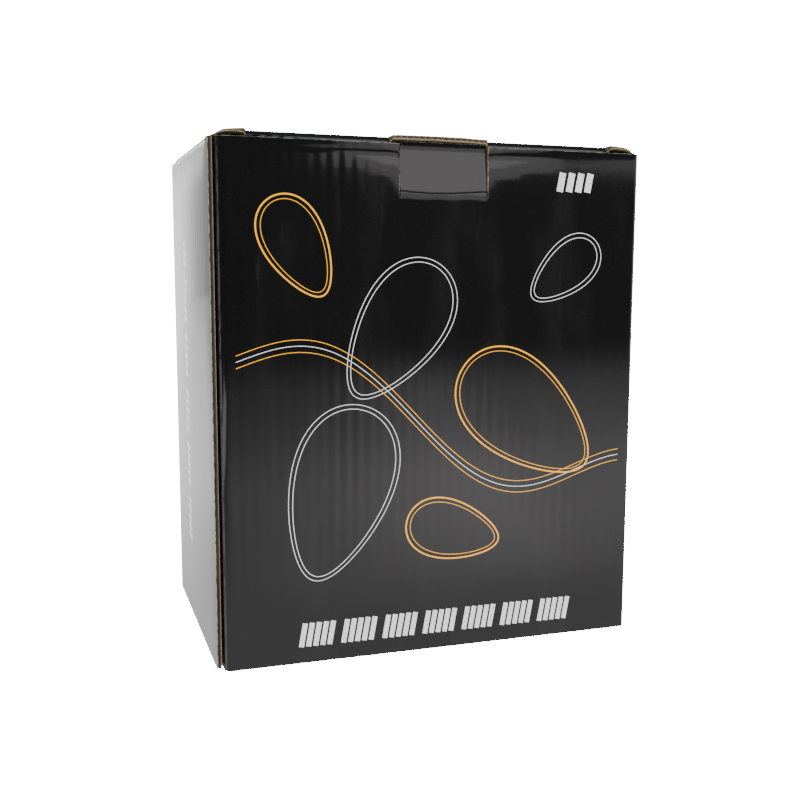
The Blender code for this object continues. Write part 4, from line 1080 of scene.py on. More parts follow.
@dataclass
class LockTab:
    """The tab in the front panel, pushed in a little so that its tip stands under the lid's edge."""

    finishes: CartonFinishes
    axis_y: float = -0.0775
    axis_z: float = 0.233
    lean: float = math.radians(6)
    sides: Pair = (-0.0191, 0.026)
    height: float = 0.0234
    corner: float = 0.0015
    inset: float = 0.00046

    def place(self, x: float, up: float, depth: float) -> Vector:
        """The point at a place on the tab and a depth under its print, which curls out at its tip."""
        out = self.inset - 20 * max(0.0, up - 0.0183) ** 2
        return Vector((x, self.axis_y + up * math.sin(self.lean) + depth * math.cos(self.lean) + out,
                       self.axis_z + up * math.cos(self.lean) - depth * math.sin(self.lean)))

    def limits(self, x: float, start: float) -> Pair:
        """Where the tab starts and ends at a place across it."""
        loss = corner_loss(min(x - self.sides[0], self.sides[1] - x), self.corner)
        return start, self.height - loss + ragged(x, 9.0)

    def build(self) -> None:
        """Makes the tab."""
        draft = MeshDraft("lock_tab_board", self.finishes.board)
        BOARD.add(draft, self.sides, [], lambda x: self.limits(x, 0.0009), lambda x: self.limits(x, 0.0005),
                  self.place, 30, (0.0, 0.00004))
        draft.make("tab", Slot.BOARD, ["lock_tab"])


@dataclass
class CreaseSkin:
    """The printed sheet bent over a crease, lying on the board on both of its sides."""

    finishes: CartonFinishes
    name: str
    bodies: tuple[str, str]
    runs: Sequence[Pair]
    centre: Vector
    across: Vector
    turn: Pair
    along: Vector
    radius: float = 0.003
    steps: int = 14

    def place(self, run: float, angle: float, depth: float) -> Vector:
        """The point at a place along the crease and an angle round it."""
        point = on_bend(self.centre, self.along, self.across, run, max(0.0, angle), self.radius - depth)
        return point + Vector((0, 0, self.radius * min(0.0, angle)))

    def build(self) -> None:
        """Makes the sheet, ribbed a little where it bends over the flutes."""
        low, high = (math.radians(degrees) for degrees in self.turn)
        draft = MeshDraft(self.name, [self.finishes.print, self.finishes.kraft, self.finishes.cut])
        for start, end in self.runs:
            outer, inner = [], []
            for run in stops(start, end, BOARD.column_step):
                dip = BOARD.ridges(run) * 2
                angles = evenly(low, high, self.steps)
                outer.append([self.place(run, a, dip * math.sin(math.pi * k / self.steps))
                              for k, a in enumerate(angles)])
                inner.append([self.place(run, a, BOARD.outer_liner) for a in angles])
            draft.add_shell(outer, inner, (0, 1, 2))
        piece = draft.make(None, Slot.BOARD)
        middle = (self.runs[0][0] + self.runs[-1][1]) / 2
        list(self.bodies)
        tuple(self.place(middle, low, 0.0))
        tuple(self.place(middle, high, 0.0))
        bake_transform(piece)


@dataclass
class TabCrease:
    """The printed sheet across the foot of the tab, dented along its fold."""

    walls: CartonWalls
    sides: Pair = (-0.0190, 0.0259)
    foot: float = 0.2296
    top: float = 0.2342
    dent: float = 0.00036
    dent_width: float = 0.00019
    lift: float = 0.00003
    blend: Pair = (-0.0002, 0.0005)
    rows: int = 60

    def build(self) -> None:
        """Makes the sheet."""
        walls = self.walls
        draft = MeshDraft("tab_crease_print", walls.finishes.board)
        outer, inner = [], []
        for x in stops(*self.sides, 0.0008):
            share = (x - self.sides[0]) / (self.sides[1] - self.sides[0])
            wander = walls.press_end + 0.0005 - 0.0008 * math.sin(1.3 * math.pi * share)
            wander += 0.00025 * roughly(x * 400, seed=2.0)
            front, back = [], []
            for z in evenly(self.foot, self.top, self.rows):
                dip = self.dent * math.exp(-((z - wander) / self.dent_width) ** 2)
                point = walls.front(x, z, self.lift)
                tab_face = LockTab.axis_y + (z - LockTab.axis_z) * math.tan(LockTab.lean) + LockTab.inset
                tab_face += BOARD.ridges(x) - self.lift - 0.00001
                point.y += ramp(z - wander, *self.blend) * (tab_face - point.y)
                front.append(point + Y * dip)
                back.append(point + Y * (self.dent + BOARD.outer_liner * 0.6))
            outer.append(front)
            inner.append(back)
        draft.add_shell(outer, inner, (0, 1, 0))
        piece = draft.make(None, Slot.BOARD)
        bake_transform(piece)


@dataclass
class FrontPrint:
    """Line ornament and plain bars printed on the front and left panels."""

    walls: CartonWalls
    thin: float = 0.00036
    bold: float = 0.00080
    lift: float = 0.00003
    step: float = 0.0016
    cuts: Stops = ((-0.0197, 0.00013), (0.0267, 0.00020))
    cut_length: float = 0.0247

    def stroke(self, draft: MeshDraft, points: Stops, width: float, kind: int, place: Place) -> None:
        """Adds one inked line along points on a panel."""
        way = [Vector(p) for p in points]
        rows: list[list[Vector]] = [[], [], [], []]
        for index, here in enumerate(way):
            ahead = (way[min(index + 1, len(way) - 1)] - way[max(index - 1, 0)]).normalized()
            side = Vector((-ahead.y, ahead.x)) * width / 2
            edges = [(here + side * sign, lift) for lift in (1.0, 0.3) for sign in (-1, 1)]
            for row, (point, lift) in zip(rows, edges):
                row.append(place(point.x, point.y, self.lift * lift))
        draft.add_shell(rows[:2], rows[2:], (kind, kind, kind))

    def curve(self, formula: Callable[[float], Pair], length: float) -> list[Pair]:
        """Points along a formula of a share from 0 to 1, for a line of about that length."""
        return [formula(share) for share in evenly(0, 1, max(6, round(length / self.step)))]

    def hoop(self, x: float, z: float, wide: float, tall: float, turn: float) -> Callable[[float], Pair]:
        """A leaning teardrop loop about a centre."""
        def at(share: float) -> Pair:
            a = share * math.tau
            u = wide / 2 * math.sin(a) * (1 + 0.28 * math.cos(a))
            v = tall / 2 * math.cos(a)
            return (x + u * math.cos(turn) - v * math.sin(turn), z + u * math.sin(turn) + v * math.cos(turn))
        return at

    def build(self) -> None:
        """Makes the ornament on the front and the bars on both panels."""
        finishes = self.walls.finishes
        draft = MeshDraft("front_ink", [finishes.orange, finishes.pale, finishes.arris])
        hoops = [(-0.070, 0.205, 0.030, 0.052, 0.5, 0), (-0.020, 0.165, 0.044, 0.078, -0.6, 1),
                 (0.050, 0.120, 0.050, 0.088, 0.9, 0), (-0.050, 0.085, 0.052, 0.090, -0.3, 1),
                 (0.070, 0.195, 0.026, 0.046, -0.9, 1), (0.010, 0.062, 0.030, 0.052, 1.3, 0)]
        for x, z, wide, tall, turn, kind in hoops:
            for inset in (0.0, 0.0022):
                loop = self.hoop(x, z, wide - inset * 2, tall - inset * 2, turn)
                width = self.bold if kind == 0 and not inset else self.thin
                self.stroke(draft, self.curve(loop, (wide + tall) * 1.6), width, kind, self.walls.front)
        for k in range(3):
            def swell(share: float, rank: int = k) -> Pair:
                x = -0.100 + 0.204 * share
                return x, 0.148 - 0.070 * share + 0.020 * math.sin(share * 7.2) + rank * 0.0030
            self.stroke(draft, self.curve(swell, 0.23), self.thin, k % 2, self.walls.front)
        for x, width in self.cuts:
            foot = self.walls.window_foot
            points = [(x, z) for z in evenly(foot, foot + self.cut_length, 12)]
            self.stroke(draft, points, width, 2, self.walls.front)
        self.bars(draft, (-0.070, 0.080), (0.0085, 0.0205), 0.0036, 0.0026, self.walls.front)
        self.bars(draft, (0.066, 0.092), (0.2345, 0.2440), 0.0052, 0.0036, self.walls.front)
        self.bars(draft, (0.046, 0.214), (0.010, 0.020), 0.0050, 0.0034,
                  lambda z, y, lift: self.walls.left(y, z, lift))
        draft.make("root", Slot.BOARD)

    def bars(self, draft: MeshDraft, span: Pair, levels: Pair, pitch: float, width: float,
             place: Place) -> None:
        """Adds a row of slanted bars in groups of five."""
        low, high = levels
        slant = (high - low) * 0.18
        for k in range(int((span[1] - span[0]) / pitch)):
            if k % 6 < 5:
                x = span[0] + k * pitch
                points = [(x, low), (x + slant / 2, (low + high) / 2), (x + slant, high)]
                self.stroke(draft, points, width, 1, place)


@dataclass(frozen=True)
class TrainerFinishes:
    """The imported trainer's finishes."""

    wide: Material
    narrow: Material
    thread: Material
    foam: Material
    tube: Material
    cap: Material
    elastic: Material
    buckle: Material
    plated: Material
    bright: Material
    pad: Material
    paper: Material


def flip(corners: Corners, way: int) -> Corners:
    """Corners with their first coordinate turned over for the right arm."""
    return [(corner[0] * way, *corner[1:]) for corner in corners]


def folds(start: float, pitch: float, runs: int, first: float, second: float) -> Corners:
    """Corners of a strap folded to and fro in some runs, between two levels by turns."""
    corners = []
    for run in range(runs - 1):
        level = second if run % 2 else first
        corners += [(start + (run + k) * pitch, level, pitch / 2) for k in (0, 1)]
    return corners


def round_bar(line: BentLine, steps: Pair, radius: float, sides: int, lay: Place) -> list[list[Vector]]:
    """Rings of a round bar.

    Args:
        line: The bar's middle line, in a plane.
        steps: How far apart the rings are: in metres where it is straight, in radians where it is bent.
        radius: Its radius.
        sides: How many points a ring has.
        lay: Gives the point for two places in the line's plane and a distance out of it.

    Returns:
        The rings.
    """
    rings = []
    for place in line.stations(*steps):
        point, way = line.at(place)
        rings.append([lay(point.x - way.y * radius * aside, point.y + way.x * radius * aside, radius * out)
                      for aside, out in circle(sides)])
    return rings


@dataclass
class Strap:
    """A strap of webbing that follows a bent line in the XZ plane, its width along Y."""

    name: str
    corners: Corners
    y: float
    width: float
    closed: bool = False
    straight: float = 0.004
    ripple: float = 0.00008
    cup: float = 0.00012
    edge: float = 0.00055
    stitch: Pair = (0.0030, 0.78)
    thread: float = 0.00034
    inset: float = 0.003
    line: BentLine = field(init=False)

    def __post_init__(self) -> None:
        """Lays the strap's middle line."""
        self.line = BentLine(self.corners, self.closed)

    def surface(self, place: float, across: float, lift: float) -> Vector:
        """The point at a length along the strap, a place across it and a height over its middle."""
        point, way = self.line.at(place % self.line.length if self.closed else place)
        lift += self.cup * (2 * across / self.width) ** 2 - self.cup / 2
        lift += self.ripple * roughly(place * 70, across * 40, seed=len(self.name))
        return Vector((point.x - way.y * lift, self.y + across, point.y + way.x * lift))

    def section(self) -> list[Pair]:
        """The rounded outline of the strap's end, as places across and over its middle."""
        w, t, e = self.width / 2, WEBBING / 2, self.edge
        top = [(across, t) for across in evenly(e - w, w - e, 8)]
        side = [(w - e * (1 - math.cos(a)), t * math.sin(a)) for a in (0.9, 0.3, -0.3, -0.9)]
        return top + side + [(-across, -height) for across, height in top + side]

    def build(self, finishes: Sequence[Material], replaced: str, seams: Seams = (), side: int = 1) -> None:
        """Makes the strap with its seams.

        Args:
            finishes: The webbing and the thread.
            replaced: The solid that it stands for.
            seams: Lines of stitches, each as (length along, place across) pairs.
            side: Which face the stitches show on: 1 to the left of the line, -1 to the right.
        """
        draft = MeshDraft(self.name, finishes)
        section = self.section()
        places = self.line.stations(self.straight, 0.16)
        rings = [[self.surface(place, across, height) for across, height in section] for place in places]
        ends = places + [self.line.length] * self.closed
        runs = [[(place, across + self.width / 2) for across, _ in section] for place in ends]
        draft.sweep(rings, self.closed, 0, runs)
        for seam in seams:
            self.sew(draft, seam, side)
        draft.make("root", Slot.WEBBING, [replaced], 50)

    def sew(self, draft: MeshDraft, seam: Sequence[Pair], side: int) -> None:
        """Adds a row of stitches along a seam."""
        pitch, share = self.stitch
        for start, end in zip(seam, seam[1:]):
            a, b = Vector(start), Vector(end)
            reach = b - a
            beside = Vector((-reach.y, reach.x)).normalized()
            count = max(1, round(reach.length / pitch))
            for k in range(count):
                rings = []
                for j in range(5):
                    middle = a + reach * ((k + (1 - share) / 2 + share * j / 4) / count)
                    radius = self.thread * math.sin(math.pi * (0.12 + 0.19 * j))
                    ring = []
                    for aside, out in circle(6):
                        spot = middle + beside * (radius * aside)
                        up = WEBBING / 2 - 0.00006 + radius * 0.375 * (1 + out)
                        ring.append(self.surface(spot.x, spot.y, up * side))
                    rings.append(ring)
                draft.sweep(rings, False, 1)

    def box_seam(self, start: float, end: float) -> list[list[Pair]]:
        """A sewn box with a cross in it, between two lengths along the strap."""
        w = self.width / 2 - self.inset
        box = [(start, -w), (end, -w), (end, w), (start, w), (start, -w)]
        return [box, [(start, -w), (end, w)], [(start, w), (end, -w)]]

    def bar_seam(self, place: float) -> list[list[Pair]]:
        """Two rows of stitches straight across."""
        w = self.width / 2 - self.inset
        return [[(place, -w), (place, w)], [(place + 0.0022, w), (place + 0.0022, -w)]]


@dataclass
class Arm:
    """One arm of the trainer: handle, foot cradle, strap folded to a hank, tie and cam buckle."""

    finishes: TrainerFinishes
    name: str
    side: int
    y: float
    grip_x: float = -0.0324
    grip_z: float = 0.150
    grip_length: float = 0.110
    corner_out: float = 0.0706
    foot_half: float = 0.011
    foot_z: float = 0.0096
    cradle_half: float = 0.0702
    cradle_rise: float = 0.062
    cradle_arch: float = 0.055
    cradle_bend: float = 0.015
    cradle_lap: float = 0.034
    hank_x: float = 0.0421
    hank_runs: int = 17
    hank_pitch: float = 0.0034
    hank_top: float = 0.0995
    strap_z: float = 0.1035
    tail: float = 0.012
    tie_z: float = 0.050
    tie_half: float = 0.010
    tie_thick: float = 0.0006
    tie_bend: float = 0.0014
    sleeve: float = 0.01925
    sleeve_end: float = 0.0186
    grooved: float = 0.037
    groove_pitch: float = 0.016
    groove_width: float = 0.0013
    groove_depth: float = 0.0006
    tube: float = 0.0165
    wall: float = 0.0017
    cap: float = 0.0196
    rim: float = 0.0003

    @property
    def way(self) -> int:
        """1 for the left arm and -1 for the right one, which is turned over."""
        return -self.side

    def build(self) -> None:
        """Makes the arm."""
        self.grip()
        self.handle()
        self.cradle()
        self.hank()
        self.tie()
        self.buckle()

    def turned(self, part: str, profile: Sequence[Pair], finish: Material, slot: Slot, replaced: str,
               steps: int = 72) -> None:
        """Makes a ring turned about the grip's axis from a closed profile of (place, radius)."""
        draft = MeshDraft(f"{self.name}_{part}", [finish])
        centre = Vector((self.way * self.grip_x, self.y, self.grip_z))
        rings = [[centre + Vector((place, radius * aside, radius * up)) for place, radius in profile]
                 for aside, up in circle(steps)]
        draft.sweep(rings, True)
        draft.make(f"{self.name}_grip", slot, [f"{self.name}_{replaced}"], 32)

    def grip(self) -> None:
        """Makes the ribbed foam sleeve, the tube in it and the caps on its ends."""
        half, rim, cap = self.grip_length / 2, self.rim, self.cap
        half_pitch = self.groove_pitch / 2
        skin = []
        for place in evenly(-half, half, 150):
            from_end = half - abs(place)
            radius = self.sleeve - (self.sleeve - self.sleeve_end) * (1 - ramp(from_end, 0.0, 0.004))
            radius -= 0.0007 * (1 - ramp(from_end, 0.0, 0.0012))
            aside = (place + half_pitch) % self.groove_pitch - half_pitch
            if abs(place) < self.grooved:
                radius -= self.groove_depth * math.exp(-(aside / self.groove_width) ** 2)
            skin.append((place, radius))
        skin += [(half, self.tube + FIT), (-half, self.tube + FIT)]
        self.turned("grip_foam", skin, self.finishes.foam, Slot.FOAM, "grip_sleeve", 96)
        bore = self.tube - self.wall
        end = [(half - rim, self.tube), (half, self.tube - rim), (half, bore + rim), (half - rim, bore)]
        tube = [(-place, radius) for place, radius in end[1::-1]] + end
        tube += [(-place, radius) for place, radius in end[:1:-1]]
        self.turned("grip_core", tube, self.finishes.tube, Slot.TUBE, "grip_tube")
        seat, face, spigot = half + FIT, half + FIT + 0.004, bore - FIT
        profile = [(face - 0.0010, 0.01285), (face - 0.0003, 0.0132), (face, 0.0140), (face, 0.0178),
                   (face - 0.0002, 0.0186), (face - 0.0006, 0.0192), (face - 0.0014, cap),
                   (seat + 0.0006, cap), (seat, cap - 0.0005), (seat, spigot + 0.0003),
                   (seat - 0.0004, spigot), (seat - 0.0076, spigot), (seat - 0.008, spigot - 0.0004),
                   (seat - 0.008, 0.01285)]
        for part, side in (("outer", -self.side), ("inner", self.side)):
            outline = [(place * side, radius) for place, radius in profile]
            self.turned(f"cap_{part}", outline, self.finishes.cap, Slot.CAP, f"grip_cap_{part}")

    def handle(self) -> None:
        """Makes the narrow webbing loop through the grip, sewn where its foot meets the arm's strap."""
        right = [(self.grip_x + self.corner_out, self.grip_z, 0.007),
                 (self.grip_x + self.foot_half, self.foot_z, 0.006)]
        left = [(2 * self.grip_x - x, *rest) for x, *rest in right[::-1]]
        strap = Strap(f"{self.name}_handle_loop", flip(right + left, self.way), self.y, NARROW, True,
                      ripple=0.00003, cup=0.00004)
        strap.build([self.finishes.narrow, self.finishes.thread], f"{self.name}_handle_webbing")

    def cradle(self) -> None:
        """Makes the wide foot cradle that arches over the grip, sewn on both legs."""
        leg = math.atan2(self.grip_z - self.foot_z, self.corner_out - self.foot_half)
        gap = WEBBING + FIT
        lap_x = self.corner_out - math.cos(leg) * self.cradle_lap + math.sin(leg) * gap
        lap_z = self.grip_z - math.sin(leg) * self.cradle_lap - math.cos(leg) * gap
        turn_z = lap_z + (self.cradle_half - lap_x) * math.tan(leg)
        half = [(lap_x, lap_z), (self.cradle_half, turn_z, self.cradle_bend),
                (self.cradle_half, self.grip_z + self.cradle_rise, self.cradle_arch)]
        right = [(self.grip_x + x, *rest) for x, *rest in half]
        left = [(self.grip_x - x, *rest) for x, *rest in half]
        strap = Strap(f"{self.name}_cradle_strap", flip(right + left[::-1], self.way), self.y, WIDE,
                      ripple=0.00005)
        length = strap.line.length
        seams = strap.box_seam(0.003, 0.027) + strap.box_seam(length - 0.027, length - 0.003)
        strap.build([self.finishes.wide, self.finishes.thread], f"{self.name}_foot_cradle", seams, -self.way)

    def hank(self) -> None:
        """Makes the arm's strap, folded to and fro and led through the buckle to its tail."""
        corners: list[tuple[float, ...]] = [(self.grip_x - 0.010, FLOOR), (self.hank_x, FLOOR, 0.003)]
        corners += folds(self.hank_x, self.hank_pitch, self.hank_runs, self.hank_top, FLOOR)
        end_x = self.hank_x + (self.hank_runs - 1) * self.hank_pitch
        corners += [(end_x, self.strap_z, 0.005), (self.hank_x - self.tail, self.strap_z)]
        strap = Strap(f"{self.name}_strap_folds", flip(corners, self.way), self.y, WIDE, straight=0.008,
                      ripple=0.00010, cup=0.00010)
        strap.build([self.finishes.wide, self.finishes.thread], f"{self.name}_strap_hank",
                    strap.bar_seam(strap.line.length - 0.006), self.way)

    def tie(self) -> None:
        """Makes the ribbed elastic band round the hank, snug on its folds."""
        thick, bend = self.tie_thick, self.tie_bend
        grow = WEBBING / 2 + FIT + thick
        low, high = self.hank_x - grow, self.hank_x + (self.hank_runs - 1) * self.hank_pitch + grow
        half = WIDE / 2 + FIT + thick
        line = BentLine(flip(oblong(low, high, -half, half, bend), self.way), closed=True)
        draft = MeshDraft(f"{self.name}_elastic_tie", [self.finishes.elastic])
        levels = [(side, k / 10) for side, order in ((1, range(11)), (-1, range(10, -1, -1))) for k in order]
        rings, runs = [], []
        for place in line.stations(0.0009, 0.3):
            point, way = line.at(place)
            swell = 0.00012 * math.sin(place * 2600) + 0.0001 * roughly(place * 300, seed=2.0)
            ring = []
            for side, share in levels:
                out = side * (thick - 0.00022 * (share in (0.0, 1.0))) + swell * self.way * (side > 0)
                ring.append(Vector((point.x - way.y * out, self.y + point.y + way.x * out,
                                    self.tie_z + self.tie_half * (2 * share - 1))))
            rings.append(ring)
            runs.append([(place, share * self.tie_half * 2) for _, share in levels])
        runs.append([(line.length, across) for _, across in runs[0]])
        draft.sweep(rings, True, 0, runs)
        draft.make("root", Slot.ELASTIC, [f"{self.name}_hank_tie"], 45)

    def buckle(self) -> None:
        """Gives the buckle's frame, lever and pin their finishes."""
        dress(f"{self.name}_buckle_frame", self.finishes.buckle)
        dress(f"{self.name}_cam_lever", self.finishes.plated)
        dress(f"{self.name}_cam_pin", self.finishes.bright)


@dataclass
class Anchor:
    """The anchor strap with its ring, and the carabiner that it hangs on."""

    finishes: TrainerFinishes
    x: float = -0.088
    y: float = 0.047
    base_z: float = 0.0106
    height: float = 0.075
    rod: float = 0.004
    play: float = 0.0005
    lap: float = 0.022
    loop_bend: float = 0.004
    rise: float = 0.110
    runs: int = 8
    pitch: float = 0.0034
    first_bend: float = 0.003
    ring_rod: float = 0.003
    ring_half: float = 0.018
    ring_drop: float = 0.024
    ring_corner: float = 0.005

    def loop_round(self, x: float, z: float, rod: float, side: int) -> Corners:
        """Corners of a sewn strap loop round a bar."""
        reach = rod + self.play + WEBBING / 2
        lap_z = z + reach - WEBBING - FIT
        bend = self.loop_bend
        return [(x + side * (reach + self.lap), lap_z), (x + side * (reach + bend * 2), lap_z, bend),
                (x + side * bend, z - reach, bend), (x - side * reach, z - reach, reach),
                (x - side * reach, z + reach, reach)]

    def build(self) -> None:
        """Makes the strap and the ring, and dresses the carabiner."""
        bar_z = self.base_z + self.height
        reach, ring_reach = (rod + self.play + WEBBING / 2 for rod in (self.rod, self.ring_rod))
        level = bar_z + reach
        start = self.x + reach + self.lap + self.first_bend
        last_x = start + (self.runs - 1) * self.pitch
        ring_x = last_x + self.first_bend + self.lap + ring_reach
        corners = [*self.loop_round(self.x, bar_z, self.rod, 1), (start, level, self.first_bend),
                   *folds(start, self.pitch, self.runs, FLOOR, FLOOR + self.rise),
                   (last_x, level + ring_reach, self.first_bend),
                   *self.loop_round(ring_x, level, self.ring_rod, -1)[::-1]]
        strap = Strap("anchor_strap_folds", corners, self.y, NARROW, ripple=0.00006, cup=0.00006)
        strap.build([self.finishes.narrow, self.finishes.thread], "anchor_strap")
        half = self.ring_half
        line = BentLine(oblong(-half, half, 0, -self.ring_drop, self.ring_corner), True)
        ring = MeshDraft("anchor_ring_bar", [self.finishes.plated])
        ring.sweep(round_bar(line, (0.004, 0.14), self.ring_rod, 24,
                             lambda y, z, x: Vector((ring_x + x, self.y + y, level + z))), True)
        ring.make("root", Slot.PLATED, ["anchor_ring"], 50)
        dress("carabiner_body", self.finishes.plated)
        dress("carabiner_gate", self.finishes.plated)
        dress("gate_pin", self.finishes.bright)


@dataclass
class DoorAnchor:
    """The soft door pad with its piped seam, and the webbing loop out of its top."""

    finishes: TrainerFinishes
    centre: Vector = field(default_factory=lambda: Vector((0.047, 0.046, 0.0346)))
    size: Vector = field(default_factory=lambda: Vector((0.070, 0.034, 0.056)))
    loop_half: float = 0.008
    loop_rise: float = 0.110
    most_swell: float = 0.004
    before_swell: Pair = (0.93, 0.80)
    thinning: float = 0.62
    gather: float = 0.05
    cord: float = 0.0013
    cord_inset: float = 0.0022
    cord_bend: float = 0.006

    def build(self) -> None:
        """Makes the pad, its piped seam and its loop."""
        self.pad()
        self.piping()
        self.loop()

    def pad(self) -> None:
        """Makes the pad: a cushion blown up by cloth pressure, then seamed round its middle."""
        bpy.ops.mesh.primitive_cube_add(size=1)
        pad = bpy.context.object
        pad.name = "door_pad_cushion"
        pad.data.name = pad.name
        side, front = self.before_swell
        half = Vector((self.size.x * side, self.size.y * front, self.size.z * side)) / 2
        edit = bmesh.new()
        edit.from_mesh(pad.data)
        bmesh.ops.subdivide_edges(edit, edges=edit.edges, cuts=13, use_grid_fill=True)
        for vertex in edit.verts:
            u, v, w = (2 * part for part in vertex.co)
            rim = max(abs(u), abs(w))
            thin = 1 - self.thinning * ramp(rim, 0.45, 1.0)
            pull, tuck = (1 - self.gather * (1 - abs(here)) * ramp(abs(there), 0.8, 1.0)
                          for here, there in ((u, w), (w, u)))
            vertex.co = self.centre + Vector((u * half.x * tuck, v * half.y * thin, w * half.z * pull))
        edit.to_mesh(pad.data)
        edit.free()
        self.swell(pad)
        self.settle(pad)
        smooth = pad.modifiers.new("round", "SUBSURF")
        smooth.levels = smooth.render_levels = 1
        pad.data.materials.append(self.finishes.pad)
        pad.data.shade_smooth()
        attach(pad, "root")
        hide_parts("door_anchor_pad")
        LOG.info("%s: %d faces on root", pad.name, len(pad.data.polygons))

    def swell(self, pad: bpy.types.Object) -> None:
        """Blows the pad up with a short run of cloth under pressure."""
        cloth = pad.modifiers.new("swell", "CLOTH")
        settings = cloth.settings
        settings.quality = 5
        settings.use_pressure = True
        settings.uniform_pressure_force = 3.0
        settings.effector_weights.gravity = 0.0
        settings.tension_stiffness = 25
        settings.bending_stiffness = 1.2
        scene = bpy.context.scene
        for number in range(1, 15):
            scene.frame_set(number)
        swollen = pad.evaluated_get(bpy.context.evaluated_depsgraph_get()).to_mesh()
        places = [vertex.co.copy() for vertex in swollen.vertices]
        pad.modifiers.remove(cloth)
        scene.frame_set(1)
        for vertex, place in zip(pad.data.vertices, places):
            shift = place - vertex.co
            if shift.length > self.most_swell:
                shift = shift.normalized() * self.most_swell
            vertex.co = vertex.co + shift

    def settle(self, pad: bpy.types.Object) -> None:
        """Keeps the pad inside the room that its solid holds, and flat where it stands."""
        low, high = self.centre - self.size / 2, self.centre + self.size / 2
        for vertex in pad.data.vertices:
            co = vertex.co
            co.x = min(high.x - 0.001, max(low.x + 0.001, co.x))
            co.z = min(high.z - 0.0008, max(low.z + 0.0002, co.z))

    def piping(self) -> None:
        """Makes the piped seam round the pad's edge."""
        draft = MeshDraft("door_pad_piping", [self.finishes.pad, self.finishes.thread])
        u, w = (size / 2 - self.cord_inset for size in (self.size.x, self.size.z))
        line = BentLine(oblong(-u, u, -w, w, self.cord_bend), closed=True)
        draft.sweep(round_bar(line, (0.002, 0.15), self.cord, 10,
                              lambda x, z, y: self.centre + Vector((x, y, z))), True)
        draft.make("root", Slot.PAD, (), 60)

    def loop(self) -> None:
        """Makes the loop, its two ends let into the pad's top seam."""
        x, half, rise = self.centre.x, self.loop_half, self.loop_rise
        top = self.centre.z + self.size.z / 2 + FIT
        leg = [(-WEBBING, top), (-WEBBING, top + half), (-half, top + half * 3, half),
               (-half, top + rise, half)]
        corners = [(x + aside * side, *rest) for side, row in ((1, leg), (-1, leg[::-1]))
                   for aside, *rest in row]
        strap = Strap("door_loop_strap", corners, self.centre.y, NARROW, ripple=0.00005, cup=0.00005)
        strap.build([self.finishes.narrow, self.finishes.thread], "door_anchor_loop", strap.bar_seam(0.0022))


@dataclass
class Booklet:
    """The guide booklet: a cover round a block of leaves, with staples in its spine."""

    finishes: TrainerFinishes
    x: float = 0.020
    width: float = 0.148
    height: float = 0.210
    back: float = 0.0742
    thickness: float = 0.0024
    floor: float = 0.0066
    leaves: int = 6
    wire: float = 0.00025

    def build(self) -> None:
        """Makes the leaves, fanned a little at the cut edge, and the staples."""
        draft = MeshDraft("booklet_leaves", [self.finishes.paper])
        gap = self.thickness / self.leaves
        left, right = self.x - self.width / 2, self.x + self.width / 2
        for k in range(self.leaves):
            front = self.back - gap * (k + 1) + 0.00004
            behind = self.back - gap * k
            short = 0.0004 * abs(k - (self.leaves - 1) / 2)
            sides: list[list[list[Vector]]] = []
            for y in (front, behind):
                sides.append([])
                for share in evenly(0, 1, 18):
                    x = left + (right - left - short) * share
                    spine = 0.0009 * math.exp(-share * 30) * (0.5 - (k + 0.5) / self.leaves)
                    levels = evenly(self.floor, self.floor + self.height, 12)
                    sides[-1].append([Vector((x, y - spine, z)) for z in levels])
            draft.add_shell(*sides, (0, 0, 0))
        draft.make("root", Slot.PAPER, ["guide_booklet"])
        staples = MeshDraft("booklet_staples", [self.finishes.bright])
        for z in (self.floor + self.height * 0.27, self.floor + self.height * 0.73):
            rings = []
            for share in evenly(0, 1, 6):
                out = left - 0.0001 - 0.00015 * math.sin(math.pi * share)
                spot = Vector((out, self.back - self.thickness / 2, z - 0.006 + 0.012 * share))
                rings.append([spot + Vector((aside, out, 0)) * self.wire for aside, out in circle(8)])
            staples.sweep(rings, False)
        staples.make("root", Slot.BRIGHT)


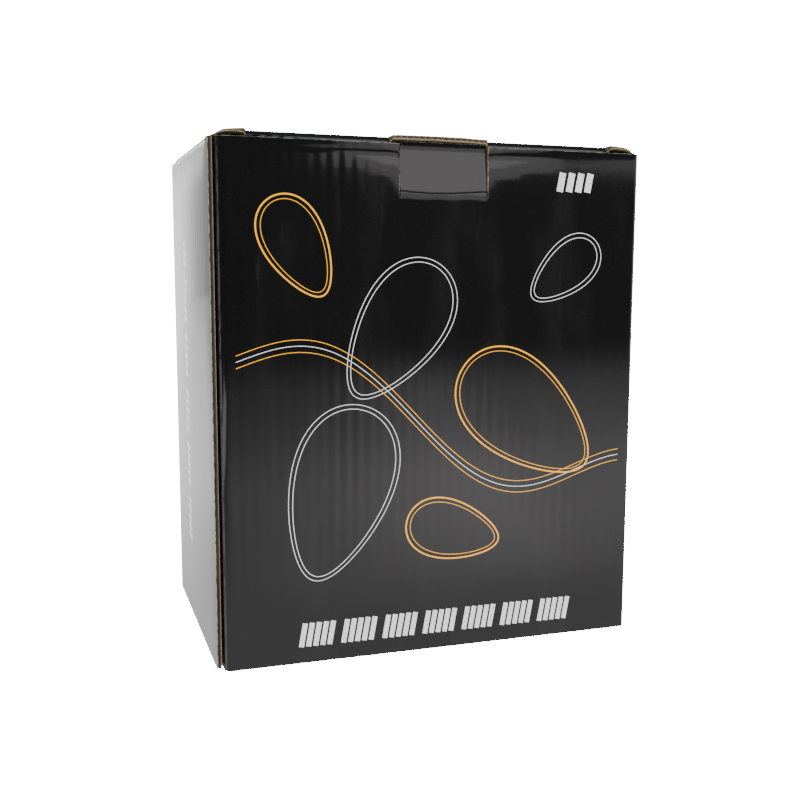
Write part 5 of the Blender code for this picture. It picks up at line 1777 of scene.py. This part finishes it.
@dataclass
class Studio:
    """A white studio: bright surround, pale floor, a pool of light on it, a soft box and dark flags."""

    backdrop: float = 30.0
    fill: float = 2.4
    pool: float = 2.27
    soft_box: float = 2.6
    low_box: float = 1.5
    flag: float = 0.10
    roof: float = 0.22
    near: float = -0.079
    far: float = 6.0
    ground: float = -0.0006
    front: float = -2.0
    left: float = -1.6
    right: float = 2.4
    box_left: float = 0.36
    levels: tuple[float, ...] = (-0.1, 0.425, 0.70, 1.6, 1.9)
    skew: float = 0.666
    warm: Colour = (1.02, 0.98, 1.0)
    cool: Colour = (0.75, 1.0, 1.05)
    base_stops: Stops = ((0, 0.42), (0.03, 0.40), (0.058, 0.20), (0.09, 0.06), (0.12, 0), (1, 0))
    floor_stops: Stops = ((0, 0.05), (0.03, 0.10), (0.058, 0.50), (0.09, 0.80), (0.12, 0.95), (0.19, 1),
                          (0.225, 0.95), (0.28, 0.82), (0.34, 0.70), (0.43, 0.60), (0.55, 0.48),
                          (0.71, 0.25), (0.85, 0.08), (0.98, 0))
    side_stops: Stops = ((0, 0.15), (0.15, 0.30), (0.23, 0.46), (0.27, 0.68), (0.325, 1), (0.345, 0.98),
                         (0.37, 0.80), (0.40, 0.76), (0.45, 0.74), (1, 0.40))
    low_stops: Stops = ((0, 0.10), (0.035, 0.22), (0.07, 0.90), (0.11, 1.20), (0.20, 1.35), (0.29, 1.15),
                        (0.40, 0.85), (1, 0.80))
    rise_stops: Stops = ((0, 1), (0.35, 1), (1, 1.75))
    flag_stops: Stops = ((0, 0.4), (0.45, 0.6), (0.60, 1.6), (1, 1.8))
    near_stops: Stops = ((0, 0.57), (0.03, 0.66), (0.075, 0.95), (0.19, 1), (0.5, 1.04), (1, 1))
    aside_stops: Stops = ((0, 1), (0.15, 0.95), (0.18, 0.76), (0.205, 0.66), (0.235, 0.62), (0.27, 0.50),
                          (0.32, 0.40), (1, 0.35))
    right_stops: Stops = ((0, 1), (0.03, 0.85), (0.08, 0.45), (0.16, 0.22), (1, 0.10))
    behind_stops: Stops = ((0, 1), (0.104, 0.96), (0.191, 0.77), (0.242, 0.52), (0.285, 0.33), (0.33, 0.27),
                           (1, 0.30))

    def surround(self) -> None:
        """Makes the world: pure white to the eye, and a soft white light for the rest."""
        world = bpy.data.worlds.new("studio")
        bpy.context.scene.world = world
        world.use_nodes = True
        tree = world.node_tree
        tree.nodes.clear()
        path = tree.nodes.new("ShaderNodeLightPath")
        mix = tree.nodes.new("ShaderNodeMixShader")
        out = tree.nodes.new("ShaderNodeOutputWorld")
        tree.links.new(path.outputs["Is Camera Ray"], mix.inputs[0])
        for index, strength in ((1, self.fill), (2, self.backdrop)):
            shade = tree.nodes.new("ShaderNodeBackground")
            shade.inputs["Color"].default_value = (1, 1, 1, 1)
            shade.inputs["Strength"].default_value = strength
            tree.links.new(shade.outputs[0], mix.inputs[index])
        tree.links.new(mix.outputs[0], out.inputs["Surface"])

    def card(self, name: str, corners: Corners, light: float, along: Stops = (), up: Stops = (),
             base: Stops = (), seen: bool = False, tint: Colour = (1.0, 1.0, 1.0)) -> None:
        """Makes a flat glowing card that only reflections see, or only the camera.

        Args:
            name: Its name.
            corners: Its four corners, from the start of the first side.
            light: How bright it is at most.
            along: Shares of that light at places along its first side.
            up: The same along its second side.
            base: Shares that are added, along its first side.
            seen: Whether the camera sees it instead of reflections.
            tint: Its colour.
        """
        mesh = bpy.data.meshes.new(name)
        mesh.from_pydata(corners, [], [(0, 1, 2, 3)])
        mesh.uv_layers.new(name="run").data.foreach_set("uv", [0, 0, 1, 0, 1, 1, 0, 1])
        card = bpy.data.objects.new(name, mesh)
        bpy.context.scene.collection.objects.link(card)
        graph = Graph(f"{name}_glow")
        graph.tree.nodes.remove(graph.shader)
        strength: Any = light
        first, second = graph.lengths()
        for place, shares in ((first, along), (second, up), (first, base)):
            if shares:
                made = graph.node("ValToRGB", {}, {0: place})
                made.color_ramp.interpolation = "CARDINAL"
                elements = made.color_ramp.elements
                while len(elements) < len(shares):
                    elements.new(0.5)
                for element, (position, value) in zip(elements, shares):
                    element.position = position
                    element.color = (value, value, value, 1.0)
                share = Signal(graph, made.outputs[0])
                strength = strength + share * light if shares is base else share * strength
        glow = graph.node("Emission", {}, {"Color": (*tint, 1.0), "Strength": strength})
        graph.tree.links.new(glow.outputs[0], graph.tree.nodes["Material Output"].inputs["Surface"])
        mesh.materials.append(graph.material)
        card.visible_camera = seen
        card.visible_glossy = not seen
        card.visible_diffuse = card.visible_shadow = card.visible_transmission = False
        card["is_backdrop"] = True

    def build(self) -> None:
        """Makes the studio."""
        self.surround()

        def upright(left: float, right: float, low: float, high: float, y: float) -> Corners:
            return [(left, y, low), (right, y, low), (right, y, high), (left, y, high)]

        def flat(z: float, *places: Pair) -> Corners:
            return [(x, y, z) for x, y in places]

        left, right, box = self.left, self.right, self.box_left
        front, near, far = self.front, self.near, self.far
        foot, low, middle, high, top = self.levels
        self.card("floor", flat(-0.001, (-4, -4), (4, -4), (4, 4), (-4, 4)), self.backdrop, seen=True)
        pool = flat(self.ground, (-0.60, near), (-0.60 + self.skew, -2.3), (1.40 + self.skew, -2.3),
                    (1.40, near))
        self.card("floor_pool", pool, self.pool, self.floor_stops, self.side_stops, self.base_stops,
                  tint=self.warm)
        self.card("front_flag", upright(left, right, foot, low, front), self.flag, self.flag_stops)
        self.card("high_flag", upright(left, box, low, top, front), self.flag * 0.7)
        self.card("low_box", upright(box, right, low, middle, front), self.low_box, self.low_stops,
                  self.rise_stops, tint=self.warm)
        self.card("soft_box", upright(box, right, middle, high, front), self.soft_box, tint=self.warm)
        side = [(left, front, foot), (left, 2.5, foot), (left, 2.5, top), (left, front, top)]
        self.card("left_flag", side, self.flag * 0.7)
        self.card("roof", flat(top, (left, front), (right, front), (right, 3.0), (left, 3.0)), self.roof,
                  tint=self.cool)
        edge = ((0.3, near), (-0.42, far))
        self.card("left_floor", flat(self.ground, *edge, (-2.42, far), (-1.7, near)), self.fill,
                  self.near_stops, self.aside_stops)
        self.card("right_floor", flat(self.ground, *edge, (4.0, far), (4.0, near)), self.fill,
                  self.near_stops, self.right_stops)
        self.card("left_distance", upright(-0.3, -3.0, foot, 3.0, far), self.fill, self.behind_stops)


@dataclass
class Viewpoint:
    """The camera at the photograph's viewing angle."""

    place: Vector = field(default_factory=lambda: Vector((-0.1816, -0.5828, 0.1968)))
    forward: Vector = field(default_factory=lambda: Vector((0.32977, 0.93398, -0.13758)))
    down: Vector = field(default_factory=lambda: Vector((-0.03873, -0.13222, -0.99046)))
    lens: float = 48.44
    shift: Pair = (-0.0375, 0.01875)

    def build(self) -> None:
        """Makes the camera and makes it the scene's."""
        data = bpy.data.cameras.new("camera")
        data.lens = self.lens
        data.sensor_width = 36.0
        data.shift_x, data.shift_y = self.shift
        data.clip_start = 0.01
        camera = bpy.data.objects.new("camera", data)
        bpy.context.scene.collection.objects.link(camera)
        back = -self.forward.normalized()
        up = -self.down
        right = up.cross(back).normalized()
        up = back.cross(right).normalized()
        turned = Matrix((right, up, back)).transposed().to_4x4()
        camera.matrix_world = Matrix.Translation(self.place) @ turned
        bpy.context.scene.camera = camera


def measure() -> None:
    """Works out the solids' box and the dressed part's box, and does not keep them."""
    boxes = {"solids": SOLIDS_BOX, "dressed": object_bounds()}
    {name: [list(corner) for corner in box] for name, box in boxes.items()}


def make_carton() -> None:
    """Makes the carton, with its creases and print."""
    finishes = CartonFinishes(
        print=gloss_print(((-0.1070, -0.0762), (0.1100, -0.0765), (-0.1100, 0.0765), (0.1100, 0.0765))),
        kraft=raw_board("kraft_paper", (0.255, 0.205, 0.110), (0.150, 0.115, 0.058)),
        cut=pale_core("cut_paper_edge", (0.46, 0.41, 0.32), (0.16, 0.13, 0.09)),
        # painted shade: darker kraft for the waved medium and the crushed fibres, standing for the shade
        # inside the flutes
        flute=raw_board("flute_paper", (0.105, 0.072, 0.042), (0.050, 0.034, 0.020)),
        arris=pale_core("rubbed_edge", (0.24, 0.215, 0.175), (0.06, 0.05, 0.04)),
        orange=ink("orange_ink", (0.80, 0.36, 0.002), (0.50, 0.20, 0.001)),
        pale=ink("pale_ink", (0.62, 0.62, 0.62), (0.30, 0.30, 0.30)),
    )
    walls, lid, tuck = CartonWalls(finishes), Lid(finishes), TuckFlap(finishes)
    dusts = [DustFlap(finishes, "left_dust_flap", -1), DustFlap(finishes, "right_dust_flap", 1)]
    for piece in (walls, lid, tuck, *dusts, LockTab(finishes), TabCrease(walls)):
        piece.build()
    CreaseSkin(finishes, "lid_crease_print", ("root", "lid"), [(-lid.crease_end, lid.crease_end)],
               Vector((0, lid.back, walls.hinge_z)), Y, (-40, 90), X).build()
    CreaseSkin(finishes, "tuck_crease_print", ("lid", "tuck"), tuck.creases,
               Vector((0, tuck.axis_y, tuck.axis_z)), Y, (66, 194), X).build()
    for dust in dusts:
        CreaseSkin(finishes, f"{dust.name}_crease_print", ("root", dust.body), [(dust.front, dust.back)],
                   dust.axis, X * dust.side, (-27, 90), Y).build()
    for side, along in (("front", 0), ("back", 0), ("left", 1), ("right", 1)):
        dress(f"base_{side}_flap", base_board(f"base_{side}_flap_board", along, BOARD.pitch))
    FrontPrint(walls).build()


def make_trainer() -> None:
    """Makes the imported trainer: two arms, anchor, door anchor and booklet."""
    finishes = TrainerFinishes(
        wide=webbing("wide_webbing", WIDE, stripe=(0.62, 0.25, 0.02)),
        narrow=webbing("narrow_webbing", NARROW),
        thread=grained("sewing_thread", (0.040, 0.040, 0.043), (0.120, 0.120, 0.125), 0.55,
                       Grain(5200, 1, (8, 8, 8), shade=1.0, depth=0.00008, stretch=(1, 1, 2.2))),
        foam=grained("grip_foam_rubber", (0.012, 0.012, 0.0125), (0.048, 0.048, 0.050), 0.72,
                     Grain(2600, 3, (1, 1, 1), 0.38, 0.62, 0.55, depth=0.00014),
                     Grain(120, 3, (5, 2, 8), 0.45, 0.72, 0.3, 0.1)),
        tube=plastic("grip_tube_plastic", (0.045, 0.045, 0.047), (0.10, 0.10, 0.10), 0.45),
        cap=plastic("grip_cap_plastic", (0.70, 0.255, 0.022), (0.86, 0.46, 0.12), 0.36),
        elastic=webbing("tie_elastic", 0.020, (0.020, 0.020, 0.022), (0.10, 0.10, 0.105), 0.0018, 0.0010),
        buckle=steel("satin_buckle_steel", (0.46, 0.46, 0.47), 0.34),
        plated=steel("plated_hook_steel", (0.60, 0.60, 0.61), 0.20, (1.0, 1.0, 0.06), 0.00001),
        bright=steel("bright_pin_steel", (0.70, 0.70, 0.71), 0.16, (0.06, 1.0, 1.0), 0.00001),
        pad=pad_cover(),
        paper=paper(),
    )
    for piece in (Arm(finishes, "left", -1, -0.044), Arm(finishes, "right", 1, -0.003), Anchor(finishes),
                  DoorAnchor(finishes), Booklet(finishes)):
        piece.build()


def main() -> None:
    """Builds each sub-assembly in order, then the studio and the camera."""
    logging.basicConfig(level=logging.INFO, format="%(message)s")
    make_carton()
    make_trainer()
    Studio().build()
    Viewpoint().build()
    measure()


if __name__ == "__main__":
    main()
